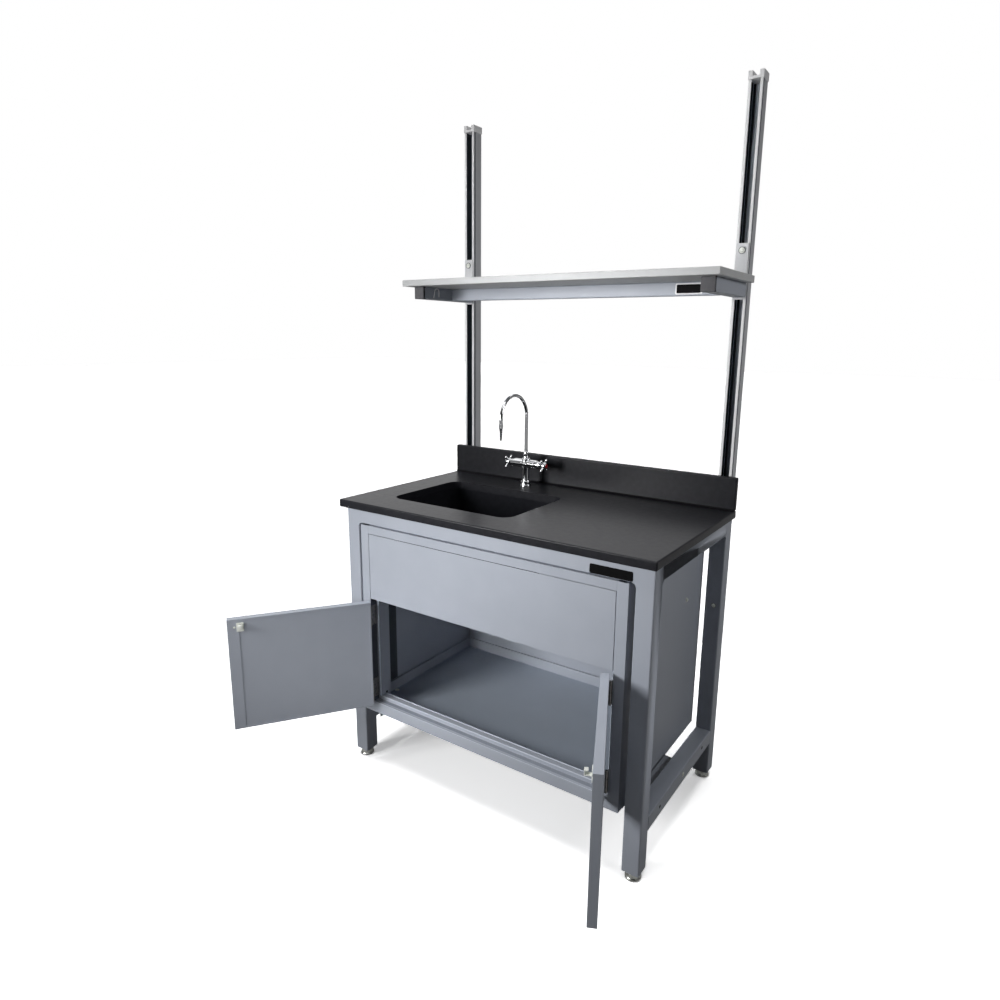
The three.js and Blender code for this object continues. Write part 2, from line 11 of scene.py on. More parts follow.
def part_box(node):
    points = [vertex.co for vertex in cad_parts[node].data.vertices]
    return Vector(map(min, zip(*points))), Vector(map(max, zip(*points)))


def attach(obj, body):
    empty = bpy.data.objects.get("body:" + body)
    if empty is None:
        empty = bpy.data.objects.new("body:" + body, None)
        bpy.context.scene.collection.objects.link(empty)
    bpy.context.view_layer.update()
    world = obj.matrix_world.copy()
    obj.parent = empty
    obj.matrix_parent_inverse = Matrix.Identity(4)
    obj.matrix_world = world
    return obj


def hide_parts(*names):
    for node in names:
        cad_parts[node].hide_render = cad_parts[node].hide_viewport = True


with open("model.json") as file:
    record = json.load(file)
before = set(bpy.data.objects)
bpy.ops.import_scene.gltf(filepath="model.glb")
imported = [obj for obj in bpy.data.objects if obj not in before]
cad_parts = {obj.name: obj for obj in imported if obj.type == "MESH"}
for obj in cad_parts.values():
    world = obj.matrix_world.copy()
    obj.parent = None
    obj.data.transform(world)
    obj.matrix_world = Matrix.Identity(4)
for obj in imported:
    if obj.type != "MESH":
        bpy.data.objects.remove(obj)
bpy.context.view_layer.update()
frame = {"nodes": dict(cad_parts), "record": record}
BODY_OF = {node: body for body, nodes in frame["record"]["behaviour"]["bodies"].items() for node in nodes}
SIDES = ("left", "right")
ENDS = ("front", "rear")
LEVELS = ("upper", "lower")
MM = 0.001


def mid(node):
    """Centre of a CAD node's box."""
    low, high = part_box(node)
    return (np.array(low) + np.array(high)) / 2


def corner(node, pick):
    """A corner of a CAD node's box; pick holds -1 or 1 for each axis, or 0 for the middle."""
    low, high = (np.array(p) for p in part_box(node))
    return (low + high) / 2 + np.array(pick) * (high - low) / 2


# shapes worked out as whole arrays

def quads(rows, columns, wrap_rows=False, wrap_columns=False):
    """Faces of a grid of rows by columns, joined round where a direction wraps."""
    i = np.arange(rows if wrap_rows else rows - 1)[:, None]
    j = np.arange(columns if wrap_columns else columns - 1)[None, :]
    down, along = (i + 1) % rows, (j + 1) % columns
    faces = np.stack(np.broadcast_arrays(
        i * columns + j, i * columns + along, down * columns + along, down * columns + j), -1)
    return [tuple(face) for face in faces.reshape(-1, 4).tolist()]


def surface(points, wrap_rows=False, wrap_columns=False, lid_start=False, lid_end=False):
    """A skin over an array of points (rows, columns, 3), with flat lids on its first and last row
    where asked."""
    rows, columns = points.shape[:2]
    faces = quads(rows, columns, wrap_rows, wrap_columns)
    if lid_start:
        faces.append(tuple(range(columns - 1, -1, -1)))
    if lid_end:
        faces.append(tuple(range((rows - 1) * columns, rows * columns)))
    return points.reshape(-1, 3), faces


def axes_along(direction):
    """Two unit vectors square to a direction and to each other."""
    d = np.array(direction, float) / np.linalg.norm(direction)
    helper = np.array((0.0, 0.0, 1.0)) if abs(d[2]) < 0.9 else np.array((1.0, 0.0, 0.0))
    side = np.cross(helper, d)
    side /= np.linalg.norm(side)
    return side, np.cross(d, side), d


def turned(profile, place, direction=(0, 0, 1), segments=48, ring=False):
    """A profile of (radius, height) turned about a line: place + h d + r (cos t a + sin t b).
    A ring's profile closes on itself; any other is closed by flat lids."""
    side, other, d = axes_along(direction)
    radius, height = np.array(profile, float).T
    t = np.linspace(0, 2 * math.pi, segments, endpoint=False)
    spoke = np.cos(t)[:, None] * side + np.sin(t)[:, None] * other
    points = np.array(place, float) + height[:, None, None] * d + radius[:, None, None] * spoke[None]
    return surface(points, wrap_rows=ring, wrap_columns=True, lid_start=not ring, lid_end=not ring)


def prism(outline, place, across, along, length):
    """A closed outline of (across, up) pushed straight along a direction: place + u a + v z + w d."""
    u, v = np.array(outline, float).T
    flat = np.array(place, float) + u[:, None] * np.array(across, float)
    flat[:, 2] += v
    ends = np.array((0.0, length))[:, None, None] * np.array(along, float)
    return surface(flat[None] + ends, wrap_columns=True, lid_start=True, lid_end=True)


def carried(path, outline):
    """A closed outline of (across, up) carried along a path, turning with it by the shortest way."""
    path, outline = np.array(path, float), np.array(outline, float)
    tangent = np.gradient(path, axis=0)
    tangent /= np.linalg.norm(tangent, axis=1)[:, None]
    side = axes_along(tangent[0])[0]
    rings = []
    for here, ahead in zip(path, tangent):
        side = side - ahead * side.dot(ahead)
        side /= np.linalg.norm(side)
        up = np.cross(ahead, side)
        rings.append(here + outline[:, :1] * side + outline[:, 1:] * up)
    return surface(np.array(rings), wrap_columns=True, lid_start=True, lid_end=True)


def circle(radius, segments):
    """Points round a circle."""
    t = np.linspace(0, 2 * math.pi, segments, endpoint=False)
    return radius * np.stack([np.cos(t), np.sin(t)], -1)


def arc(centre, radius, start, end, count=8):
    """Points (across, up) on an arc, angles in degrees."""
    t = np.radians(np.linspace(start, end, count))
    return np.array(centre) + radius * np.stack([np.cos(t), np.sin(t)], -1)


def round_box(low, high, radius, steps=4):
    """A box with rounded edges: every point of a sphere of that radius, pushed out to its own corner."""
    low, high = np.array(low, float), np.array(high, float)
    quarter = np.linspace(0, math.pi / 2, steps)
    around = np.concatenate([quarter + k * math.pi / 2 for k in range(4)])
    rise = np.concatenate([quarter - math.pi / 2, quarter])
    turn = np.repeat(((1, 1), (-1, 1), (-1, -1), (1, -1)), steps, axis=0)
    lift = np.repeat((-1, 1), steps)
    level = np.cos(rise)[:, None]
    ball = np.stack(np.broadcast_arrays(
        level * np.cos(around), level * np.sin(around), np.sin(rise)[:, None]), -1)
    push = np.stack(np.broadcast_arrays(turn[None, :, 0], turn[None, :, 1], lift[:, None]), -1)
    points = (low + high) / 2 + push * ((high - low) / 2 - radius) + radius * ball
    return surface(points, wrap_columns=True, lid_start=True, lid_end=True)


def strip(across, deep, tall, radius):
    """A thin rounded box from two values of X, in either order, two of Y and two of Z."""
    left, right = sorted(across)
    return round_box((left, deep[0], tall[0]), (right, deep[1], tall[1]), radius)


def pushed_across(outline, x0, x1):
    """A closed outline of (y, z) pushed along X from x0 to x1."""
    return prism(outline, (x0, 0, 0), (0, 1, 0), (1, 0, 0), x1 - x0)


def mm(*points):
    """Points given in millimetres."""
    return [tuple(point) for point in np.array(points, float) * MM]


def round_rectangle(half_x, half_y, radius, count=9):
    """Points round a rectangle with rounded corners, anticlockwise from the right side."""
    t = np.concatenate([np.linspace(0, math.pi / 2, count) + k * math.pi / 2 for k in range(4)])
    sign = np.repeat(((1, 1), (-1, 1), (-1, -1), (1, -1)), count, axis=0)
    inner = np.array((half_x - radius, half_y - radius))
    return sign * inner + radius * np.stack([np.cos(t), np.sin(t)], -1)


def reworked(mesh, *steps):
    """Opens a mesh for work, runs each step on it and writes it back."""
    work = bmesh.new()
    work.from_mesh(mesh)
    for step in steps:
        step(work)
    work.to_mesh(mesh)
    work.free()


def doubles_merged(work, near=1e-6):
    """Joins points that lie on each other."""
    bmesh.ops.remove_doubles(work, verts=work.verts, dist=near)


def slivers_closed(work, near=1e-7):
    """Takes out faces and edges of no size."""
    bmesh.ops.dissolve_degenerate(work, dist=near, edges=work.edges)


def faces_outward(work):
    """Turns every face outwards."""
    bmesh.ops.recalc_face_normals(work, faces=work.faces)


def flats_joined(work):
    """Joins the triangles of each flat face."""
    slivers_closed(work, 1e-6)
    bmesh.ops.dissolve_limit(work, angle_limit=math.radians(0.5), verts=work.verts, edges=work.edges)


def mesh_of(name, parts):
    """One mesh from one or more skins."""
    verts, faces, start = [], [], 0
    for points, some in parts:
        verts.append(points)
        faces += [tuple(k + start for k in face) for face in some]
        start += len(points)
    mesh = bpy.data.meshes.new(name)
    mesh.from_pydata(np.concatenate(verts).tolist(), [], faces)
    return mesh


def placed(name, mesh, coat, body, replaced):
    """Puts a mesh into the scene, riding on a body and standing for the CAD nodes it replaces."""
    mesh.shade_smooth()
    thing = bpy.data.objects.new(name, mesh)
    bpy.context.scene.collection.objects.link(thing)
    mesh.materials.append(coat)
    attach(thing, body)
    if replaced:
        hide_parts(*replaced)
    return thing


def piece(name, parts, coat, body, replaced=(), smooth_angle=35):
    """One object from one or more skins: doubles merged, faces outwards, and flat faces shaded flat."""
    mesh = mesh_of(name, parts)
    reworked(mesh, doubles_merged, slivers_closed, faces_outward)
    placed(name, mesh, coat, body, replaced)
    mesh.set_sharp_from_angle(angle=math.radians(smooth_angle))


# finishes

def node_group(name, inputs, outputs):
    """An empty shader node group with named float or colour sockets."""
    group = bpy.data.node_groups.new(name, "ShaderNodeTree")
    for label, kind, value in inputs:
        socket = group.interface.new_socket(label, in_out="INPUT", socket_type=kind)
        socket.default_value = value
    for label, kind in outputs:
        group.interface.new_socket(label, in_out="OUTPUT", socket_type=kind)
    return group, group.nodes.new("NodeGroupInput"), group.nodes.new("NodeGroupOutput")


def fed(tree, node, values, start=0):
    """Sets a node's inputs in turn, each to a number or to another node's output."""
    for socket, value in zip(list(node.inputs)[start:], values):
        if isinstance(value, (int, float)):
            socket.default_value = value
        else:
            tree.links.new(value, socket)


def worked_out(tree, operation, *values):
    """A Math node; each value is a number or another node's output."""
    node = tree.nodes.new("ShaderNodeMath")
    node.operation = operation
    fed(tree, node, values)
    return node.outputs[0]


def ranged(tree, value, start, end, low, high, smooth=False):
    """A Map Range node: low at start, high at end."""
    node = tree.nodes.new("ShaderNodeMapRange")
    if smooth:
        node.interpolation_type = "SMOOTHSTEP"
    fed(tree, node, (value, start, end, low, high))
    return node.outputs[0]


def mixed(tree, factor, first, second):
    """A Mix node for two values."""
    node = tree.nodes.new("ShaderNodeMix")
    fed(tree, node, (factor,))
    fed(tree, node, (first, second), 2)
    return node.outputs[0]


def mottle_group():
    """Two colours mixed by soft noise, and the noise itself as a mask."""
    group, into, out = node_group("mottle", [
        ("Vector", "NodeSocketVector", (0, 0, 0)), ("Light", "NodeSocketColor", (1, 1, 1, 1)),
        ("Dark", "NodeSocketColor", (0, 0, 0, 1)), ("Scale", "NodeSocketFloat", 30.0),
    ], [("Color", "NodeSocketColor"), ("Mask", "NodeSocketFloat")])
    noise = group.nodes.new("ShaderNodeTexNoise")
    noise.inputs["Detail"].default_value = 4
    link = group.links.new
    link(into.outputs["Vector"], noise.inputs["Vector"])
    link(into.outputs["Scale"], noise.inputs["Scale"])
    mask = ranged(group, noise.outputs["Fac"], 0.32, 0.68, 0, 1)
    mix = group.nodes.new("ShaderNodeMix")
    mix.data_type = "RGBA"
    link(mask, mix.inputs[0])
    fed(group, mix, (into.outputs["Dark"], into.outputs["Light"]), 6)
    link(mix.outputs[2], out.inputs["Color"])
    link(mask, out.inputs["Mask"])
    return group


def spread_group():
    """A mask turned into a value between two limits, for roughness."""
    group, into, out = node_group("spread", [
        ("Mask", "NodeSocketFloat", 0.5), ("Low", "NodeSocketFloat", 0.3), ("High", "NodeSocketFloat", 0.5),
    ], [("Value", "NodeSocketFloat")])
    mask, low, high = (into.outputs[label] for label in ("Mask", "Low", "High"))
    group.links.new(ranged(group, mask, 0, 1, low, high), out.inputs["Value"])
    return group


def grouped(tree, group, **values):
    """A node group placed in a material with its own values."""
    node = tree.nodes.new("ShaderNodeGroup")
    node.node_tree = group
    for label, value in values.items():
        node.inputs[label].default_value = value
    return node


GRAIN_DEEP = 0.4 * MM
MOTTLE = mottle_group()
SPREAD = spread_group()


def finish(name, light, dark, rough, scale, gloss=0.5, metal=0.0, grain=0.0, grain_scale=900.0,
           stretch=(1, 1, 1)):
    """A finish: colour and roughness wander between two values on Object coordinates, with a fine raised
    grain where asked."""
    material = bpy.data.materials.new(name)
    material.use_nodes = True
    tree = material.node_tree
    shader = tree.nodes["Principled BSDF"]
    shader.inputs["Specular IOR Level"].default_value = gloss
    shader.inputs["Metallic"].default_value = metal
    place = tree.nodes.new("ShaderNodeTexCoord")
    mapping = tree.nodes.new("ShaderNodeMapping")
    mapping.inputs["Scale"].default_value = stretch
    mottle = grouped(tree, MOTTLE, Light=(*light, 1), Dark=(*dark, 1), Scale=scale)
    spread = grouped(tree, SPREAD, Low=rough[0], High=rough[1])
    link = tree.links.new
    link(place.outputs["Object"], mapping.inputs["Vector"])
    link(mapping.outputs["Vector"], mottle.inputs["Vector"])
    link(mottle.outputs["Color"], shader.inputs["Base Color"])
    link(mottle.outputs["Mask"], spread.inputs["Mask"])
    link(spread.outputs["Value"], shader.inputs["Roughness"])
    if grain:
        noise = tree.nodes.new("ShaderNodeTexNoise")
        noise.inputs["Scale"].default_value = grain_scale
        noise.inputs["Detail"].default_value = 2
        bump = tree.nodes.new("ShaderNodeBump")
        bump.inputs["Strength"].default_value = grain
        bump.inputs["Distance"].default_value = GRAIN_DEEP
        link(mapping.outputs["Vector"], noise.inputs["Vector"])
        link(noise.outputs["Fac"], bump.inputs["Height"])
        link(bump.outputs["Normal"], shader.inputs["Normal"])
    return material


PAINT = finish("powder_coat", (0.400, 0.428, 0.485), (0.385, 0.413, 0.470), (0.36, 0.44), 14, 0.3,
               grain=0.2, grain_scale=700)
# Lighter copy of the powder coat for the cabinet floor: painted light on the floor inside the open doors.
TRAY = finish("tray_painted_light", (0.455, 0.510, 0.590), (0.440, 0.495, 0.575), (0.36, 0.44), 14, 0.3,
              grain=0.2, grain_scale=700)
# Painted highlight: a paler copy of the paint on the sill's rolled edges.
EDGE_HIGHLIGHT = finish("painted_edge_highlight", (0.58, 0.62, 0.69), (0.54, 0.58, 0.65), (0.5, 0.6), 60, 0.2)
# Painted highlight: a pale strip on the edge of each door stop.
STOP_HIGHLIGHT = finish("painted_stop_highlight", (0.78, 0.87, 0.98), (0.72, 0.81, 0.92), (0.5, 0.6), 60, 0.2)
# Painted shade: dark strips and rings put where parts lie in shade.
SHADE = finish("painted_shade", (0.100, 0.108, 0.124), (0.088, 0.096, 0.110), (0.6, 0.7), 60, 0.1)
# Painted shade: a dark strip on the sill's ledge, where the groove under the doors lies in shade.
LEDGE_SHADE = finish("painted_ledge_shade", (0.27, 0.29, 0.33), (0.25, 0.27, 0.31), (0.6, 0.7), 60, 0.1)
RESIN = finish("black_resin", (0.0160, 0.0165, 0.0202), (0.0128, 0.0132, 0.0163), (0.29, 0.34), 60, 0.16,
               grain=0.05, grain_scale=1200)
SEALANT = finish("black_sealant", (0.008, 0.008, 0.009), (0.006, 0.006, 0.007), (0.7, 0.8), 80, 0.05)
CHROME = finish("chrome", (0.78, 0.79, 0.81), (0.73, 0.74, 0.76), (0.04, 0.08), 40, metal=1.0)
ZINC = finish("zinc_plate", (0.66, 0.67, 0.63), (0.50, 0.51, 0.48), (0.22, 0.36), 90, metal=1.0)
STEEL = finish("hinge_steel", (0.24, 0.23, 0.22), (0.15, 0.145, 0.14), (0.26, 0.38), 120, metal=1.0)
STEEL_BRIGHT = finish("drain_steel", (0.55, 0.55, 0.55), (0.45, 0.45, 0.45), (0.2, 0.3), 120, metal=1.0)
CATCH = finish("bright_zinc", (0.86, 0.88, 0.82), (0.74, 0.76, 0.70), (0.28, 0.36), 90, 0.6)
ALONG_Z = (1, 1, 0.02)          # stretches a finish's pattern up the uprights
ALLOY = finish("satin_aluminium", (0.520, 0.530, 0.555), (0.460, 0.470, 0.495), (0.40, 0.50), 60, 0.45,
               stretch=ALONG_Z)
# Painted shade inside the slots of the uprights.
SLOT = finish("painted_slot_shade", (0.040, 0.046, 0.056), (0.030, 0.036, 0.045), (0.45, 0.55), 60, 0.2,
              stretch=ALONG_Z)
# The lit part of the inside of the slots, beside the painted shade.
SLOT_BACK = finish("slot_back", (0.52, 0.57, 0.64), (0.46, 0.51, 0.58), (0.40, 0.50), 60, 0.3,
                   stretch=ALONG_Z)
BRACKET = finish("bright_aluminium", (0.72, 0.73, 0.75), (0.67, 0.68, 0.70), (0.42, 0.52), 60, 0.3)
# White plastic of the caps, clip and plate border; also a painted highlight on the front lips of the uprights.
CAP_AND_HIGHLIGHT = finish("cap_plastic_and_painted_highlight", (0.86, 0.86, 0.87), (0.82, 0.82, 0.83), (0.45, 0.55), 50, 0.25)
ARM_PLUG = finish("arm_plug", (0.130, 0.129, 0.137), (0.118, 0.117, 0.125), (0.6, 0.7), 70, 0.1)
BOARD = finish("white_laminate", (0.55, 0.56, 0.565), (0.53, 0.54, 0.545), (0.34, 0.42), 35, 0.3, grain=0.06)
HOT = finish("red_plastic", (0.42, 0.012, 0.016), (0.36, 0.010, 0.013), (0.25, 0.35), 80)
COLD = finish("blue_plastic", (0.015, 0.055, 0.34), (0.012, 0.045, 0.30), (0.25, 0.35), 80)
PLATE = finish("black_plate", (0.004, 0.004, 0.0045), (0.003, 0.003, 0.0035), (0.5, 0.6), 80, 0.05)
HOLE = finish("dark_hole", (0.010, 0.010, 0.011), (0.008, 0.008, 0.009), (0.7, 0.8), 80, 0.1)

# welded bench frame

FRAME_NODES = ([f"leg_{end}_{side}" for end in ENDS for side in SIDES]
               + [f"{kind}_{side}" for kind in ("end_rail", "stretcher") for side in SIDES]
               + ["rail_front", "rail_rear"])
WELD_FILLET = 9 * MM            # rounded inside corner of the welds
WELD_LAP = 6 * MM               # how far a weld covers the rounded edge of a leg


def merged_copy(node, name):
    """A CAD node's triangles with their doubles merged, as a new mesh."""
    source = frame["nodes"][node].data
    points = np.empty(len(source.vertices) * 3)
    source.vertices.foreach_get("co", points)
    index = np.empty(len(source.loops), int)
    source.loops.foreach_get("vertex_index", index)
    merged, place = np.unique(points.reshape(-1, 3).round(6), axis=0, return_inverse=True)
    mesh = bpy.data.meshes.new(name)
    mesh.from_pydata(merged.tolist(), [], place.reshape(-1)[index].reshape(-1, 3).tolist())
    return mesh


def edged(name, mesh, coat, body, nodes, width, segments=2):
    """Puts a solid into the scene with its sharp edges rounded over, standing for CAD nodes."""
    thing = placed(name, mesh, coat, body, nodes)
    bevel = thing.modifiers.new("edges", "BEVEL")
    bevel.width = width
    bevel.segments = segments
    bevel.limit_method = "ANGLE"
    bevel.angle_limit = math.radians(40)
    bevel.use_clamp_overlap = True
    thing.modifiers.new("shading", "WEIGHTED_NORMAL").keep_sharp = True


def softened(node, coat, width, segments=2):
    """A merged copy of one CAD node with its sharp edges rounded over."""
    mesh = merged_copy(node, node + "_skin")
    reworked(mesh, flats_joined)
    edged(node + "_skin", mesh, coat, BODY_OF[node], [node], width, segments)


def weld_corner(place, across, along, thick, height):
    """A weld that covers a leg's rounded edge beside a rail, with a rounded corner below the rail.
    Its outline runs down the leg, round a quarter circle and along the rail's underside."""
    r = WELD_FILLET
    bend = arc((r, -r), r, 180, 90)
    outline = np.concatenate([[(-WELD_LAP, height), (-WELD_LAP, -r)], bend, [(r, height)]])
    return prism(outline, place, across, along, thick)


def welded_frame():
    """Legs, rails, stretchers and weld corners joined into one skin."""
    welds = []
    for sx, side in ((1, "left"), (-1, "right")):
        leg_x = corner("rail_front", (-sx, 0, 0))[0]
        for rail in ("rail_front", "rail_rear"):
            low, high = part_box(rail)
            welds.append(weld_corner((leg_x, low[1], low[2]), (sx, 0, 0), (0, 1, 0), high[1] - low[1],
                                     high[2] - low[2]))
        low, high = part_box("end_rail_" + side)
        for sy, y in ((1, low[1]), (-1, high[1])):
            welds.append(weld_corner((low[0], y, low[2]), (0, sy, 0), (1, 0, 0), high[0] - low[0],
                                     high[2] - low[2]))
    parts = [merged_copy(node, node + "_part") for node in FRAME_NODES]
    for weld in welds:
        parts.append(mesh_of("weld_part", [weld]))
        reworked(parts[-1], faces_outward)
    group = bpy.data.collections.new("weld_parts")
    bpy.context.scene.collection.children.link(group)
    things = [bpy.data.objects.new(mesh.name, mesh) for mesh in parts]
    for thing in things[1:]:
        group.objects.link(thing)
    bpy.context.scene.collection.objects.link(things[0])
    join = things[0].modifiers.new("join", "BOOLEAN")
    join.operation = "UNION"
    join.operand_type = "COLLECTION"
    join.collection = group
    join.solver = "EXACT"
    bpy.context.view_layer.update()
    solid = things[0].evaluated_get(bpy.context.evaluated_depsgraph_get())
    mesh = bpy.data.meshes.new_from_object(solid)
    for thing in things:
        bpy.data.objects.remove(thing)
    bpy.data.collections.remove(group)
    mesh.name = "welded_frame"
    mesh.materials.clear()
    reworked(mesh, lambda work: doubles_merged(work, 1e-5))
    reworked(mesh, flats_joined)
    edged("welded_frame", mesh, PAINT, "bench", FRAME_NODES, 1.0 * MM)


welded_frame()

# cabinet, doors, worktop, uprights and shelf: CAD solids with rounded edges

PAINTED = [n for n in frame["nodes"] if n.startswith((
    "cabinet_", "stile", "head_rail", "front_panel", "door_", "shelf_rail"))]
for node in PAINTED:
    # the cabinet floor takes the lighter copy of the paint, painted light
    softened(node, TRAY if node == "cabinet_floor" else PAINT, 0.6 * MM)
for node in ("worktop", "backsplash"):
    softened(node, RESIN, 1.0 * MM)
for side in SIDES:
    softened("upright_" + side, ALLOY, 0.6 * MM)
    softened("shelf_arm_" + side, PAINT, 0.8 * MM)
    softened("shelf_bracket_" + side, BRACKET, 0.8 * MM)
    softened("cap_" + side, CAP_AND_HIGHLIGHT, 1.8 * MM, 3)
    softened("catch_" + side, CATCH, 0.8 * MM)
    for level in LEVELS:
        softened(f"hinge_{level}_{side}", STEEL, 0.4 * MM)
        softened(f"hinge_leaf_{level}_{side}", STEEL, 0.4 * MM)
softened("shelf_board", BOARD, 0.8 * MM)

# sill, tray rim, painted shade behind the door jambs and painted highlights on the door stops

SHEET = 1.5 * MM                # folded sheet of the cabinet
STOP_WIDE = 12 * MM             # door stop past the edge of the opening
STOP_BACK = 24.5 * MM           # door stop behind the cabinet front
STOP_EDGE = 6 * MM              # width of the painted highlight on the stop
SILL_DEEP = 24 * MM             # flat top of the sill
LEDGE_SHADE_FROM = 11 * MM             # painted shade on the ledge, from this far behind its front
TRAY_RIM = 8 * MM
RIM_ROUND = 1.5 * MM
JAMB_SHADE_DEEP = 74 * MM           # depth of the painted shade behind a jamb
JAMB_SHADE_TOP = 0.640
FLANGE = 6 * MM                 # folded edge of a cabinet side
FLANGE_END = 30 * MM            # where a flange stops short of the side's front and top
FLANGE_LAP = 3 * MM
SUPPORT_DROP = 60 * MM
SUPPORT_LONG = 0.264
SUPPORT_SLANT = 1.4             # how far its rear end leans back for each length down


def sill():
    """The bottom rail as two outlines of (y, z) pushed along X: a front with a ledge under the doors, and a
    raised stop behind it that drops to the cabinet floor. Its three rolled edges, each a circle carried along
    a line, are a piece of their own in a paler colour, a painted highlight; the dark strip on its ledge is a
    piece of its own too, painted shade in the groove under the doors."""
    low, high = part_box("bottom_rail")
    floor_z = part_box("cabinet_floor")[0][2] + SHEET
    ledge, stop_y = high[2] - STOP_WIDE, low[1] + STOP_BACK
    rear, join = stop_y + SILL_DEEP, high[1] + SHEET
    lap, foot = floor_z + 0.3 * MM, floor_z - 1 * MM
    front = [(low[1], low[2]), (low[1], ledge), (stop_y, ledge), (stop_y, low[2])]
    raised = [(stop_y, foot), (stop_y, high[2]), (rear, high[2]), (rear, lap), (join, lap), (join, foot)]
    x0, x1 = low[0] + STOP_WIDE, high[0] - STOP_WIDE
    parts = [pushed_across(front, low[0], high[0]), pushed_across(raised, x0, x1)]
    piece("sill", parts, PAINT, "bench", ["bottom_rail"])
    # the rolled edges are real shapes; their paler colour is painted highlight
    rolls = [(x0, x1, rear - 1.2 * MM, high[2], 1.6 * MM),
             (low[0], high[0], low[1] + 1 * MM, ledge, 0.9 * MM),
             (x0, x1, stop_y + 1.4 * MM, high[2], 1.8 * MM)]
    edges = [carried(((a, y, z), (b, y, z)), circle(r, 14)) for a, b, y, z, r in rolls]
    piece("sill_edge_highlights", edges, EDGE_HIGHLIGHT, "bench")
    # the dark strip on the ledge is painted shade in the groove under the doors
    ledge_shade_y, under, over = low[1] + LEDGE_SHADE_FROM, ledge - 0.2 * MM, ledge + 0.5 * MM
    seal = [(ledge_shade_y, under), (ledge_shade_y, over), (stop_y, over), (stop_y, under)]
    piece("sill_ledge_shade", [pushed_across(seal, x0, x1)], LEDGE_SHADE, "bench")


def tray_rim():
    """A folded rim round three sides of the cabinet floor."""
    low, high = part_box("cabinet_floor")
    x0, x1, back = low[0] + SHEET, high[0] - SHEET, high[1] - SHEET
    deep, tall = (low[1], back), (low[2] + 1.2 * MM, high[2] + TRAY_RIM)
    rims = [strip((x0, x0 + TRAY_RIM), deep, tall, RIM_ROUND),
            strip((x1 - TRAY_RIM, x1), deep, tall, RIM_ROUND),
            strip((x0, x1), (back - TRAY_RIM, back), tall, RIM_ROUND)]
    piece("tray_rim", rims, PAINT, "bench")


def jamb_shade_strips():
    """A dark strip on each cabinet wall behind the door jamb: painted shade where the wall lies in shade."""
    low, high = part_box("cabinet_back")
    floor_low, floor_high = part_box("cabinet_floor")
    deep, tall = (floor_low[1], floor_low[1] + JAMB_SHADE_DEEP), (floor_high[2] + TRAY_RIM, JAMB_SHADE_TOP)
    shade_strips = [strip((x - 0.4 * MM, x + 0.4 * MM), deep, tall, 0.2 * MM)
              for x in (low[0] + 0.3 * MM, high[0] - 0.3 * MM)]
    piece("jamb_shade_strips", shade_strips, SHADE, "bench")


def door_stops():
    """A dark strip on each side of the door opening, behind the hinges, painted shade on the return there, and a
    pale strip on the edge of the stop there, a painted highlight."""
    low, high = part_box("bottom_rail")
    z0, z1 = high[2] + 0.5 * MM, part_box("door_left")[1][2] + 2 * MM
    stop_y = low[1] + STOP_BACK
    shade_strips, edges = [], []
    for x, sx in ((low[0], 1), (high[0], -1)):
        across, deep = (x - 0.3 * MM, x + 0.3 * MM), (low[1] + 1 * MM, stop_y)
        shade_strips.append(strip(across, deep, (z0 - STOP_WIDE, z1), 0.1 * MM))
        across = (x + sx * (STOP_WIDE - STOP_EDGE), x + sx * (STOP_WIDE - 0.2 * MM))
        edges.append(strip(across, (stop_y - 0.4 * MM, stop_y + 0.4 * MM), (z0, z1), 0.2 * MM))
    piece("opening_shade_strips", shade_strips, SHADE, "bench")
    piece("stop_edge_highlights", edges, STOP_HIGHLIGHT, "bench")


def side_flanges():
    """The folded edges of the cabinet sides, below and behind, and a support below the front end of each: an
    outline of (y, z) with a slanted rear end, pushed along X."""
    leg_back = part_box("leg_front_left")[1][1]
    for side, sx in (("left", -1), ("right", 1)):
        wall = corner("cabinet_back", (sx, 0, 0))[0]
        across = (wall + sx * 0.1 * MM, wall + sx * 1.4 * MM)
        low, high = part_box("cabinet_side_" + side)
        bottom, rear = low[2] - FLANGE, high[1] + FLANGE
        top, base = low[2] + FLANGE_LAP, low[2] - SUPPORT_DROP
        end = leg_back + SUPPORT_LONG
        support = [(leg_back, base), (end + SUPPORT_SLANT * SUPPORT_DROP, base), (end, low[2]), (end, top),
                   (leg_back, top)]
        parts = [strip(across, (low[1] + FLANGE_END, rear), (bottom, top), 0.5 * MM),
                 strip(across, (high[1] - FLANGE_LAP, rear), (bottom, high[2] - FLANGE_END), 0.5 * MM),
                 pushed_across(support, *sorted(across))]
        piece("side_flange_" + side, parts, PAINT, "bench")


sill()
side_flanges()
tray_rim()
jamb_shade_strips()
door_stops()

# bowl and drain

BOWL_WALL = 8 * MM
BOWL_LIP = 14 * MM              # flange past the wall
BOWL_LIP_THICK = 10 * MM
BOWL_ROUND = 43 * MM            # inside corners, seen from above
BOWL_COVE = 26 * MM             # round from wall to floor
DRAIN_HOLE = 44.3 * MM
GRATE = -8                      # strainer below the bowl's floor, in millimetres


